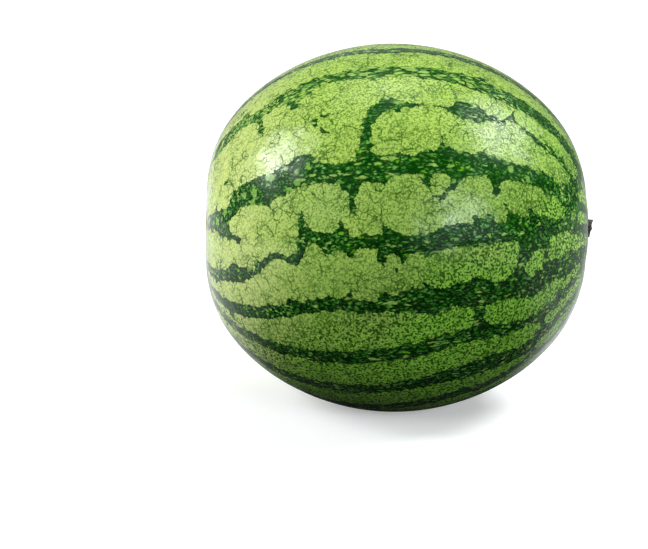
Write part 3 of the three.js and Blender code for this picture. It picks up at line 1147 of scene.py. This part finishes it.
    placed_lobes: list[Knot] = field(default_factory=lambda: [
        # Above the main stripe, from the blossom end to the broken stripe.
        (-50, 56, 14), (-56, 44, 12), (-46, 40, 10.5), (-62, 34, 10), (-57, 28, 8.5), (-36, 57, 10),
        (-38, 45, 14), (-24.5, 60, 10), (-24, 47, 9), (-19, 40.5, 12), (-15, 58, 11), (-15, 48, 9),
        (-31, 52, 9),
        # Below the main stripe, as far as the middle.
        (-46.5, 14.5, 15.5), (-37.5, 14, 11), (-31, 19.5, 9.5), (-24, 17.5, 10.5), (-20.5, 23, 8.5),
        (-34, 7.5, 8.5), (-11, 21, 10.5), (-8, 25, 7.5), (-4, 18, 10.5), (-12, 14, 6.5), (-25.3, 5, 6.2),
        (-18.5, 3, 6.5), (-20, -3, 9), (-12, 2, 8.5), (-9, -4, 8.5), (-4, 4, 4.2), (-2, -3, 8),
        (-52, 1, 9.5), (-45, -3, 7), (-58, -4, 11), (-41, 4.5, 8), (-35, -4, 10.5), (-27, -4, 10),
        # Above the main stripe, from the middle to the stem.
        (-9, 60, 10), (1, 60, 10.5), (11, 60, 9.5), (23.5, 58, 8.5), (33, 58.5, 8.5), (39, 54.5, 6.5),
        (45, 56, 9.5), (30, 51, 7), (52, 51, 8), (-3.5, 43.5, 14), (7.5, 44, 12.5), (14.5, 44, 10.5),
        (22.5, 45, 11), (30, 41.5, 10), (37, 44, 8.5), (45.5, 38, 12.5), (43, 45, 7),
        # Below the main stripe, from the middle to the stem.
        (8.5, 27.5, 6.6), (2.5, 22.5, 10), (12, 21.5, 8.5), (19, 26, 7.5), (19, 18.5, 8.5),
        (29.5, 24.5, 10.5), (36.5, 25, 8.5), (43, 22.7, 13), (33, 18.5, 6), (-1, 27, 6), (58, 34.7, 7.6),
        (58, 21.3, 8.6),
        # Between the low stripes.
        (1, 0, 11), (9, 0.5, 12), (16.5, 2, 10.5), (24.5, 2.5, 13.5), (34.5, -1, 7.4), (37.3, 3, 5.6),
        (46, 5.5, 12.4), (54.5, 6.5, 9.5), (49.5, 0.8, 5), (26, -15.5, 9.6), (34, -17.3, 9.8),
        (39.5, -16, 7.6), (44, -12.8, 10.6), (55.5, -11, 7.5), (13, -15, 10), (25, -27, 5.2),
        (30, -31, 8.4), (35.5, -30.5, 9.4), (44.5, -28.5, 8), (48.5, -25.6, 8), (54.5, -23.5, 8),
        (25, -46.5, 9), (20, -47, 8), (32.5, -46, 5.2), (42.5, -43, 7.6), (48, -40.5, 7.2),
    ])
    roll: float = -0.5
    far_stripes: int = 11
    far_start: float = 84.0
    far_span: float = 208.0
    far_end: float = 82.0
    far_step: float = 8.0
    far_wander: float = 1.4
    far_lean: float = 2.5
    far_lean_reach: float = 60.0
    far_width: float = 5.0
    far_width_drift: float = 1.0
    far_widths: Span = (2.4, 7.8)
    far_thinnest: float = 1.6
    branches: int = 2
    branch_places: Span = (-50.0, 55.0)
    branch_reach: Span = (7.0, 17.0)
    branch_widths: Knot = (3.5, 1.6, 0.7)
    cusps: int = 8
    cusp_places: Span = (-62.0, 62.0)
    cusp_reach: Span = (3.5, 7.0)
    cusp_drift: float = 1.0
    cusp_widths: Knot = (2.5, 1.0, 0.0)
    tries: int = 26000
    smallest_lobe: float = 2.6
    wished_lobe: Span = (7.0, 13.0)
    shuffle: float = 5.0
    crowding: float = 0.62
    least_shown: float = 0.8
    placed_overlap: float = 1.8
    overlap: Span = (-0.8, 0.9)
    crack_kinds: int = 64
    crack_stride: int = 7
    crack_reach: Span = (0.5, 0.95)
    stroke_batch: int = 4000
    lobe_batch: int = 2000

    def __post_init__(self) -> None:
        """Draws the far side's stripes and then the lobes."""
        self.rng = np.random.default_rng(SEED)
        far = self._far_strokes()
        self.path = np.vstack([self._smooth(stroke) for stroke in self.strokes + far])
        self.path_points = self._points(self.path[:, 0], self.path[:, 1])
        self._draw_lobes()

    def _points(self, latitude: Array, turn: Array) -> Array:
        """The plain profile's points at latitudes and turns in degrees, rolled a little about the axis."""
        return self.form.plain_point(np.radians(latitude), np.radians(turn + self.roll))

    def _smooth(self, stroke: list[Knot], step: float = 1.4) -> Array:
        """A stroke's knots joined by a smooth curve.

        Args:
            stroke: The knots.
            step: The distance between the points of the curve, in millimetres.

        Returns:
            The curve's latitudes, turns and half widths, one row each.
        """
        knots = np.array(stroke, float)
        knots = np.vstack([2 * knots[0] - knots[1], knots, 2 * knots[-1] - knots[-2]])
        places = self._points(knots[:, 0], knots[:, 1])
        pieces = []
        lengths = np.linalg.norm(np.diff(places, axis=0), axis=1)[1:]
        for before, start, end, after, length in zip(knots, knots[1:], knots[2:], knots[3:], lengths):
            count = max(2, math.ceil(length / step))
            t = np.linspace(0, 1, count, endpoint=False)[:, None]
            bend = (2 * before - 5 * start + 4 * end - after) * t**2
            twist = (3 * start - before - 3 * end + after) * t**3
            pieces.append(0.5 * (2 * start + (end - before) * t + bend + twist))
        return np.vstack([*pieces, knots[-2:-1]])

    def _far_strokes(self) -> list[list[Knot]]:
        """Draws the stripes of the side that the strokes leave bare.

        Returns:
            The strokes of the stripes, of their branches and of their cusps.
        """
        strokes = []
        cusps = np.random.default_rng(CUSP_SEED)
        latitude = np.arange(-self.far_end, self.far_end + 1, self.far_step)
        for number in range(1, self.far_stripes + 1):
            turn = self.far_start + self.far_span * number / (self.far_stripes + 1)
            wander = np.cumsum(self.rng.normal(0, self.far_wander, latitude.size))
            wander -= np.linspace(wander[0], wander[-1], latitude.size)
            lean = self.rng.normal(0, self.far_lean) / self.far_lean_reach
            drift = np.cumsum(self.rng.normal(0, self.far_width_drift, latitude.size))
            width = np.clip(self.far_width + drift, *self.far_widths) * np.cos(np.radians(latitude)) ** 0.5
            path = turn + lean * latitude + wander
            strokes.append(list(zip(latitude, path, np.maximum(self.far_thinnest, width))))
            for start in self.rng.uniform(*self.branch_places, self.branches):
                at = np.interp(start, latitude, turn + wander)
                reach = self.rng.uniform(*self.branch_reach) * self.rng.choice([-1, 1])
                places = ((start, at), (start + 1, at + reach / 2), (start - 1, at + reach))
                strokes.append([(*place, half) for place, half in zip(places, self.branch_widths)])
            for start in cusps.uniform(*self.cusp_places, self.cusps):
                at = np.interp(start, latitude, path)
                reach = cusps.uniform(*self.cusp_reach) * cusps.choice([-1, 1])
                tip = start + cusps.normal(0, self.cusp_drift)
                places = ((start, at), ((start + tip) / 2, at + reach / 2), (tip, at + reach))
                strokes.append([(*place, half) for place, half in zip(places, self.cusp_widths)])
        return strokes

    def stripe_distance(self, points: Array) -> Array:
        """Measures how far points are from the nearest stroke's edge.

        Args:
            points: The points, on the plain profile.

        Returns:
            The distances in millimetres, negative inside a stroke.
        """
        squares = (self.path_points**2).sum(axis=1)
        result = np.empty(len(points))
        for start in range(0, len(points), self.stroke_batch):
            batch = slice(start, start + self.stroke_batch)
            some = points[batch]
            gaps = (some**2).sum(axis=1)[:, None] + squares - 2 * some @ self.path_points.T
            result[batch] = (np.sqrt(np.maximum(gaps, 0)) - self.path[:, 2]).min(axis=1)
        return result

    def _draw_lobes(self) -> None:
        """Places the given lobes, and then others where the strokes leave room, large ones mostly first.

        A drawn lobe is left out if its middle lies too near another's, or if it would hardly show beside it.
        """
        given = np.array(self.placed_lobes)
        spots = self._points(given[:, 0], given[:, 1])
        room = self.stripe_distance(spots) + self.placed_overlap
        radii = np.minimum(given[:, 2], np.maximum(room, self.smallest_lobe))
        count = len(radii)
        kept = np.zeros((self.tries + count, 4))
        kept[:count] = np.column_stack([spots, radii])
        way = self.rng.normal(size=(self.tries, 3))
        way /= np.linalg.norm(way, axis=1, keepdims=True)
        spots = self.form.plain_point(np.arcsin(way[:, 0]), np.arctan2(way[:, 2], -way[:, 1]))
        room = self.stripe_distance(spots) + self.rng.uniform(*self.overlap, self.tries)
        size = np.minimum(room, self.rng.uniform(*self.wished_lobe, self.tries))
        for index in np.argsort(self.rng.uniform(0, self.shuffle, self.tries) - size):
            if size[index] < self.smallest_lobe:
                continue
            gap = np.linalg.norm(kept[:count, :3] - spots[index], axis=1)
            crowded = gap < self.crowding * np.maximum(kept[:count, 3], size[index])
            hidden = gap + size[index] < kept[:count, 3] + self.least_shown
            if crowded.any() or hidden.any():
                continue
            kept[count] = (*spots[index], size[index])
            count += 1
        self.lobe_middles, self.lobe_radii = kept[:count, :3], kept[:count, 3]
        self.lobe_cracks = self.rng.uniform(0, 1, (self.crack_kinds, self.crack_kinds))

    def lobe_fields(self, points: Array, keep: int = 2) -> tuple[Array, Numbers]:
        """How far points lie from the edges of their nearest lobes.

        Args:
            points: The points.
            keep: How many lobes to give for each.

        Returns:
            The distances to those lobes' edges, negative inside, nearest first, and the lobes' numbers.
        """
        squares = (self.lobe_middles**2).sum(axis=1)
        distances = np.empty((len(points), keep))
        numbers = np.empty((len(points), keep), np.int64)
        for start in range(0, len(points), self.lobe_batch):
            batch = slice(start, start + self.lobe_batch)
            some = points[batch]
            gaps = (some**2).sum(axis=1)[:, None] + squares - 2 * some @ self.lobe_middles.T
            edge = np.sqrt(np.maximum(gaps, 0)) - self.lobe_radii
            nearest = np.argpartition(edge, keep, axis=1)[:, :keep]
            values = np.take_along_axis(edge, nearest, axis=1)
            order = np.argsort(values, axis=1)
            distances[batch] = np.take_along_axis(values, order, axis=1)
            numbers[batch] = np.take_along_axis(nearest, order, axis=1)
        return distances, numbers

    def cracks(self, corners: Array, quads: Numbers) -> tuple[Array, Array]:
        """The crack between the two lobes nearest to each quad.

        Args:
            corners: The mesh's points on the plain profile.
            quads: The four corners of each quad.

        Returns:
            For each corner of each quad, how far it is from the crack, with a side, and how strong the
            crack is.
        """
        _, pair = self.lobe_fields(corners[quads].mean(axis=1))
        pair = np.sort(pair, axis=1)
        offset = np.zeros(quads.shape)
        for sign, column in ((1, 0), (-1, 1)):
            middles = self.lobe_middles[pair[:, column]][:, None, :]
            gap = np.linalg.norm(corners[quads] - middles, axis=2)
            offset += sign * (gap - self.lobe_radii[pair[:, column]][:, None]) / 2
        row = pair[:, 0] % self.crack_kinds
        column = (pair[:, 1] * self.crack_stride + pair[:, 0]) % self.crack_kinds
        drawn = ease(self.lobe_cracks[row, column], *self.crack_reach)
        strength = np.repeat(drawn[:, None], quads.shape[1], axis=1)
        return offset, strength


# ---- Pieces ----


def new_piece(name: str, points: Array, faces: list[list[int]],
              material: bpy.types.Material) -> bpy.types.Object:
    """A smooth-shaded mesh object in the frame.

    Args:
        name: The piece's name.
        points: Its points in millimetres.
        faces: The corners of each face, seen anticlockwise from outside.
        material: Its material.

    Returns:
        The object, linked to the scene.
    """
    mesh = bpy.data.meshes.new(name)
    mesh.from_pydata((points * MM).tolist(), [], faces)
    mesh.materials.append(material)
    mesh.shade_smooth()
    piece = bpy.data.objects.new(name, mesh)
    bpy.context.scene.collection.objects.link(piece)
    return piece


def carry(piece: bpy.types.Object, name: str, domain: str, values: Array) -> None:
    """Gives a piece's mesh a number at each of its points or corners.

    Args:
        piece: The piece.
        name: The name that the material reads.
        domain: POINT or CORNER.
        values: The numbers, in the mesh's order.
    """
    layer = piece.data.attributes.new(name, "FLOAT", domain)
    layer.data.foreach_set("value", np.ascontiguousarray(values, np.float32).ravel())


@dataclass(frozen=True)
class OpenPatch:
    """A part of the rind where the dark stripes open more readily into islands of light.

    Its turn and its latitude each give its middle and how far it reaches from there, in degrees.
    """

    share: float
    turn: Span
    latitude: Span

    def at(self, latitude: Array, turn: Array) -> Array:
        """How much the patch adds at latitudes and turns in degrees."""
        along = bump(latitude - self.latitude[0], self.latitude[1])
        return self.share * bump(turn - self.turn[0], self.turn[1]) * along


@dataclass
class Fruit:
    """The whole fruit, with its rind. Lengths are in millimetres and angles in degrees."""

    form: FruitForm
    finish: RindFinish = field(default_factory=RindFinish)
    cells: int = 128
    ground_spot_reach: Knot = (62.0, 46.0, 60.0)
    ground_spot_edge: Span = (0.55, 1.25)
    button_edge: Span = (3.6, 5.4)
    button_cork: float = 0.9
    collar_edge: Span = (6.8, 9.5)
    collar_cork: float = 0.75
    openness: float = 0.06
    open_patches: tuple[OpenPatch, ...] = (
        OpenPatch(0.6, turn=(29.0, 8.0), latitude=(-38.0, 12.0)),
        OpenPatch(0.48, turn=(16.0, 7.0), latitude=(-62.0, 12.0)),
        OpenPatch(0.16, turn=(33.0, 5.0), latitude=(22.0, 18.0)),
    )
    upper_stripe: Span = (68.0, 7.0)
    upper_stripe_edge: Span = (-45.0, 10.0)
    upper_islands: float = 0.1
    upper_strands: float = 0.58

    def build(self, effects: Effects) -> bpy.types.Object:
        """Builds and dresses the fruit.

        Args:
            effects: The shared node groups.

        Returns:
            The fruit.
        """
        way, quads = cube_sphere(self.cells)
        latitude = np.arcsin(np.clip(way[:, 0], -1, 1))
        turn = np.arctan2(way[:, 2], -way[:, 1])
        points = self.form.rested(self.form.in_frame(self.form.rind_point(latitude, turn)))
        piece = new_piece("watermelon_rind", points, quads.tolist(), self.finish.make(effects))
        self._mark(piece, latitude, turn, quads, points)
        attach(piece, "root")
        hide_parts("fruit")
        return piece

    def _mark(self, piece: bpy.types.Object, latitude: Array, turn: Array, quads: Numbers,
              points: Array) -> None:
        """Gives the rind's mesh the numbers that its finish reads.

        Args:
            piece: The fruit.
            latitude: Its points' latitudes in radians.
            turn: Their turns in radians.
            quads: The four corners of each quad.
            points: Its points in the scene's frame.
        """
        pattern = RindPattern(self.form)
        plain = self.form.plain_point(latitude, turn)
        distance, _ = pattern.lobe_fields(plain)
        carry(piece, "lobe_depth", "POINT", -distance[:, 0])
        offset, strength = pattern.cracks(plain, quads)
        carry(piece, "crack_offset", "CORNER", offset)
        carry(piece, "crack_strength", "CORNER", strength)
        lace, strands = self._openings(np.degrees(latitude), np.degrees(turn))
        carry(piece, "lace", "POINT", lace)
        carry(piece, "strands", "POINT", strands)
        along, across, up = (points / self.ground_spot_reach).T
        carry(piece, "ground_spot", "POINT", 1 - ease(np.hypot(along, across) + up, *self.ground_spot_edge))
        radial = np.hypot(plain[:, 1], plain[:, 2])
        button = self.button_cork * (1 - ease(radial, *self.button_edge))
        collar = self.collar_cork * (1 - ease(radial, *self.collar_edge))
        carry(piece, "cork", "POINT", np.where(latitude > 0, collar, button))
        log.info("%s: %d lobes, %d quads", piece.name, len(pattern.lobe_radii), len(quads))

    def _openings(self, latitude: Array, turn: Array) -> tuple[Array, Array]:
        """Tells how readily the dark stripes open.

        Args:
            latitude: Latitudes in degrees.
            turn: Turns in degrees.

        Returns:
            How readily they open into round islands of light, and into drawn-out strands.
        """
        middle, reach = self.upper_stripe
        upper = bump(turn - middle, reach) * ease(-latitude, *self.upper_stripe_edge)
        islands = self.openness + self.upper_islands * upper
        for patch in self.open_patches:
            islands = islands + patch.at(latitude, turn)
        return islands, self.openness + self.upper_strands * upper


@dataclass(frozen=True)
class Wave:
    """A wave round the stub, which starts, twists and sways by angles in radians on its way up."""

    height: float
    count: int
    start: float = 0.0
    twist: float = 0.0
    sway: float = 0.0
    sway_pace: float = 4.0

    def at(self, turn: Array, share: Union[Array, float]) -> Array:
        """The wave at turns about the axis and at shares of the stub's height, in millimetres."""
        shift = self.start + self.twist * share + self.sway * np.sin(self.sway_pace * share)
        return self.height * np.sin(self.count * turn + shift)


@dataclass
class StemStub:
    """The dry stub of the stem, ridged and twisted, torn off at a slant.

    Lengths are in millimetres and angles in radians. Heights go up from the bottom of its socket.
    """

    form: FruitForm
    finish: CorkFinish = field(default_factory=CorkFinish)
    socket_depth: float = 2.6
    fit_gap: float = 0.3
    root_radius: float = 5.8
    neck_radius: float = 5.7
    lift: float = 1.5
    height: float = 9.4
    lean: float = -0.6
    slant: float = 0.9
    rim_width: float = 1.5
    pith_depth: float = 1.8
    ridges: int = 5
    ridge_depth: float = 0.6
    ridge_twist: float = 0.9
    furrows: tuple[Wave, ...] = (
        Wave(0.18, 13, twist=5.0),
        Wave(0.1, 31, sway=3.0),
        Wave(0.07, 47, -2.0, 5.0),
    )
    torn_rim: tuple[Wave, ...] = (
        Wave(0.35, 4, 0.8),
        Wave(0.21, 9),
        Wave(0.16, 23, 1.1),
        Wave(0.12, 37),
    )
    horn_height: float = 0.9
    horn_turn: float = 1.9
    horn_spread: float = 0.3
    pith_wall_share: float = 0.6
    pith_spread: Span = (0.85, 0.2)
    pith_edge_share: float = 0.9
    pith_wave: float = 0.14
    pith_wave_pace: float = 9.0
    pith_wave_sway: float = 3.0
    waist_power: int = 3
    rim_power: int = 6
    lean_power: int = 2
    worn_reach: Span = (0.8, 1.0)
    worn_end: float = 0.7
    worn_ridges: float = 0.25
    ridge_crest: float = 0.1
    sides: int = 144
    side_rows: int = 40
    rim_rows: int = 8
    wall_rows: int = 6
    pith_rows: int = 8

    def build(self, effects: Effects) -> bpy.types.Object:
        """Builds and dresses the stub.

        Args:
            effects: The shared node groups.

        Returns:
            The stub.
        """
        height, radial = self._profile()
        turn = np.linspace(0, 2 * math.pi, self.sides, endpoint=False)
        points, worn = self._shape(height[1:-1, None], radial[1:-1, None], turn[None, :])
        ends = np.array([[height[0], 0, 0], [height[-1], 0, 0]])
        points = np.vstack([points.reshape(-1, 3), ends])
        collar = self.form.collar_height * bump(self.form.collar_radius, self.form.collar_width)
        hollow = self.form.half_length - self.form.hollow_depth + collar
        points[:, 0] += hollow - self.socket_depth + self.fit_gap
        points[:, 2] += self.lift
        faces = self._faces(len(height) - 2)
        piece = new_piece("stem_stub_dry", self.form.in_frame(points), faces, self.finish.make(effects))
        carry(piece, "worn", "POINT", np.append(worn.ravel(), [0, 1]))
        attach(piece, "root")
        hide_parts("stem_stub")
        log.info("%s: %d faces", piece.name, len(piece.data.polygons))
        return piece

    def _profile(self) -> tuple[Array, Array]:
        """Gives the stub's outline before it is ridged, wrinkled and torn.

        Returns:
            Heights and radii from the root's middle, up the side, over the rim and down to the pith's middle.
        """
        side = np.linspace(0, 1, self.side_rows + 1)
        rim = np.linspace(0, 1, self.rim_rows + 1)[1:]
        wall = np.linspace(0, 1, self.wall_rows + 1)[1:]
        pith = np.linspace(*self.pith_spread, self.pith_rows)
        waist = self.neck_radius + (self.root_radius - self.neck_radius) * (1 - side) ** self.waist_power
        inner = self.neck_radius - self.rim_width * rim
        slope = self.pith_wall_share * self.rim_width
        radial = np.concatenate([[0], waist, inner, inner[-1] - slope * wall,
                                 (inner[-1] - slope) * pith, [0]])
        top, low = self.height, self.height - self.pith_depth
        height = np.concatenate([[0], side * top, np.full(rim.size, top), top - self.pith_depth * wall,
                                 np.full(pith.size, low), [low]])
        return height, radial

    def _shape(self, height: Array, radial: Array, turn: Array) -> tuple[Array, Array]:
        """Lays ridges, furrows and the torn end over the plain profile.

        Args:
            height: Each row's height.
            radial: Each row's radius.
            turn: Each column's turn about the axis.

        Returns:
            The points by row and column, and how worn and pale each one is.
        """
        share = height / self.height
        clear = self.socket_depth / self.height
        shown = ease(share, clear, 2 * clear)
        ridges = self.ridge_depth * (1 - np.abs(np.cos(self.ridges / 2 * (turn - self.ridge_twist * share))))
        furrows = sum(wave.at(turn, share) for wave in self.furrows)
        from_horn = np.arctan2(np.sin(turn - self.horn_turn), np.cos(turn - self.horn_turn))
        torn = sum(wave.at(turn, 0.0) for wave in self.torn_rim)
        torn = torn + self.horn_height * bump(from_horn, self.horn_spread) + self.slant * np.sin(turn)
        outward = radial / self.neck_radius
        axial = height + outward * share**self.rim_power * torn
        inner = (radial < self.neck_radius - self.pith_edge_share * self.rim_width) & (share > 0.5)
        sway = self.pith_wave_sway * np.sin(3 * turn)
        pith = self.pith_wave * np.sin(self.pith_wave_pace * radial + sway)
        axial = axial + np.where(inner, pith, 0)
        radius = radial - outward * shown * (ridges + furrows)
        up = self.lean * np.maximum(0, share - clear) ** self.lean_power + radius * np.sin(turn)
        points = np.stack([axial, -radius * np.cos(turn), up], axis=-1)
        worn = ease(share + 0 * turn, *self.worn_reach) * self.worn_end
        worn = worn + np.where(ridges < self.ridge_crest, self.worn_ridges, 0.0) * shown
        return points, worn

    def _faces(self, rows: int) -> list[list[int]]:
        """Joins the rows, with a fan of triangles round the middle point of each end.

        Args:
            rows: How many rows the stub has between its two ends.

        Returns:
            The corners of each face, seen anticlockwise from outside.
        """
        index = np.arange(rows * self.sides).reshape(rows, self.sides)
        beside = np.roll(index, -1, axis=1)
        quads = np.stack([index[:-1], index[1:], beside[1:], beside[:-1]], axis=-1).reshape(-1, 4)
        root, pith = rows * self.sides, rows * self.sides + 1
        fans = [[root, int(here), int(there)] for here, there in zip(index[0], beside[0])]
        fans += [[pith, int(there), int(here)] for here, there in zip(index[-1], beside[-1])]
        return quads.tolist() + fans


@dataclass(frozen=True)
class Softbox:
    """A rectangular area light that faces the fruit.

    It hangs at an angle to the right of the front, and at an angle above level, both in degrees, and its
    width and height are in millimetres. It shines as one lamp that lights things and as another that they
    only mirror. Each strength says how bright its face then is, where a white wall in full light is 1.
    """

    name: str
    side: float
    rise: float
    size: Span
    lights: float
    mirrored: float
    tint: Rgb = WHITE


@dataclass
class Studio:
    """The floor, the lights and the camera.

    Lengths are in millimetres, and a pixel is one of the picture's. A ramp over the sky gives the way from
    the fruit at which a value starts and ends its rise, as a share of the whole, and what it rises from and
    to.
    """

    form: FruitForm
    camera_side: float = math.radians(-4.0)
    camera_rise: float = math.radians(13.0)
    camera_distance: float = 2000.0
    camera_reach: float = 50000.0
    focal_pixels: float = 3114.0
    picture: tuple[int, int] = (648, 549)
    fruit_pixel: Span = (394.7, 226.8)
    sensor: float = 36.0
    floor_size: float = 12000.0
    floor_drop: float = 0.05
    light_distance: float = 3000.0
    sky_tilt: float = 0.8
    sky_light: Ramp = (-0.3, 1.0, 0.12, 0.8)
    sky_mirrored_loss: Ramp = (-0.05, 0.3, 0.5, 0.75)
    softboxes: tuple[Softbox, ...] = (
        Softbox("left_softbox", -89.0, 37.0, (1200.0, 1050.0), 10.0, 60.0, (0.98, 1.0, 1.0)),
        Softbox("right_softbox", 103.0, 46.0, (1350.0, 1100.0), 18.0, 48.0, (0.98, 1.0, 1.0)),
        Softbox("top_softbox", -172.0, 73.0, (1700.0, 500.0), 5.0, 24.0),
        Softbox("low_window", 33.0, 16.0, (1350.0, 750.0), 13.0, 23.0, (0.84, 0.93, 1.0)),
        Softbox("front_fill", -40.0, 28.0, (1200.0, 1200.0), 6.6, 0.0),
        Softbox("left_fill", -105.0, 15.0, (1200.0, 1200.0), 8.5, 0.0),
    )

    def build(self, effects: Effects) -> None:
        """Builds the floor, the lights and the camera.

        Args:
            effects: The shared node groups.
        """
        self._floor(effects)
        self._world()
        self._camera()
        for softbox in self.softboxes:
            for part, strength in (("light", softbox.lights), ("mirrored", softbox.mirrored)):
                if strength == 0:
                    continue
                lamp = self._lamp(softbox, part, strength)
                lamp.visible_diffuse = part == "light"
                lamp.visible_glossy = part == "mirrored"
                log.info("%s: strength %g", lamp.name, strength)
        bpy.context.scene.view_settings.view_transform = "Standard"

    @staticmethod
    def _away(side: float, rise: float) -> Vector:
        """The way from the fruit at an angle to the front's right and one above level, in radians."""
        return Vector((math.sin(side) * math.cos(rise), -math.cos(side) * math.cos(rise), math.sin(rise)))

    def _floor(self, effects: Effects) -> None:
        """A plain pale floor, just under what the fruit rests on.

        Args:
            effects: The shared node groups.
        """
        half, low = self.floor_size / 2, -self.floor_drop
        corners = [(-half, -half, low), (half, -half, low), (half, half, low), (-half, half, low)]
        floor = new_piece("floor", np.array(corners), [[0, 1, 2, 3]], FloorFinish().make(effects))
        log.info("%s: %g mm across", floor.name, self.floor_size)

    def _world(self) -> None:
        """Lights the scene white from all round.

        The light is dimmer from the front than from behind, and things mirror less of it, least to the right.
        """
        world = bpy.data.worlds.new("studio")
        world.use_nodes = True
        world.node_tree.nodes.clear()
        sheet = Sheet(world.node_tree)
        seen, lit = sheet.add("ShaderNodeBackground"), sheet.add("ShaderNodeBackground")
        rays = sheet.add("ShaderNodeLightPath")
        along, across, up = sheet.apart(sheet.add("ShaderNodeTexCoord").outputs["Generated"])
        behind = sheet.sum(Sum.LESS, across, sheet.times(up, self.sky_tilt))
        mirrored = sheet.times(rays.outputs["Is Glossy Ray"], sheet.rise(along, *self.sky_mirrored_loss))
        strength = sheet.times(sheet.rise(behind, *self.sky_light), sheet.sum(Sum.LESS, 1.0, mirrored))
        sheet.feed(lit.inputs["Strength"], strength)
        for background in (seen, lit):
            background.inputs["Color"].default_value = (*WHITE, 1.0)
        mix = sheet.add("ShaderNodeMixShader")
        sheet.feed(mix.inputs[0], rays.outputs["Is Camera Ray"])
        sheet.feed(mix.inputs[1], lit.outputs[0])
        sheet.feed(mix.inputs[2], seen.outputs[0])
        sheet.feed(sheet.add("ShaderNodeOutputWorld").inputs["Surface"], mix.outputs[0])
        bpy.context.scene.world = world

    def _lamp(self, softbox: Softbox, part: str, strength: float) -> bpy.types.Object:
        """Hangs one of a softbox's two lamps.

        Args:
            softbox: The softbox.
            part: Which of the two it is, for its name.
            strength: How bright its face is.

        Returns:
            The lamp, linked to the scene.
        """
        name = f"{softbox.name}_{part}"
        light = bpy.data.lights.new(name, "AREA")
        light.shape = "RECTANGLE"
        light.size, light.size_y = (MM * length for length in softbox.size)
        light.energy = strength * math.pi * light.size * light.size_y
        light.color = softbox.tint
        lamp = bpy.data.objects.new(name, light)
        away = self._away(math.radians(softbox.side), math.radians(softbox.rise))
        lamp.location = MM * (Vector(self.form.middle) + self.light_distance * away)
        lamp.rotation_euler = away.to_track_quat("Z", "Y").to_euler()
        bpy.context.scene.collection.objects.link(lamp)
        return lamp

    def _camera(self) -> None:
        """A long lens, aimed beside the fruit so that the fruit stands off the picture's middle."""
        lens = bpy.data.cameras.new("camera")
        lens.sensor_width = self.sensor
        lens.lens = self.focal_pixels / self.picture[0] * self.sensor
        lens.clip_end = MM * self.camera_reach
        camera = bpy.data.objects.new("camera", lens)
        middle = Vector(self.form.middle)
        away = self._away(self.camera_side, self.camera_rise)
        right = Vector((math.cos(self.camera_side), math.sin(self.camera_side), 0))
        up = away.cross(right)
        per_pixel = self.camera_distance / self.focal_pixels
        aim = middle - right * (self.fruit_pixel[0] - self.picture[0] / 2) * per_pixel
        aim += up * (self.fruit_pixel[1] - self.picture[1] / 2) * per_pixel
        stand = middle + away * self.camera_distance
        camera.location = MM * stand
        camera.rotation_euler = (stand - aim).to_track_quat("Z", "Y").to_euler()
        bpy.context.scene.collection.objects.link(camera)
        bpy.context.scene.camera = camera


def main() -> None:
    """Builds the studio and the two pieces."""
    logging.basicConfig(level=logging.INFO, format="%(name)s: %(message)s")
    form = FruitForm()
    effects = Effects()
    Studio(form).build(effects)
    Fruit(form).build(effects)
    StemStub(form).build(effects)


if __name__ == "__main__":
    main()
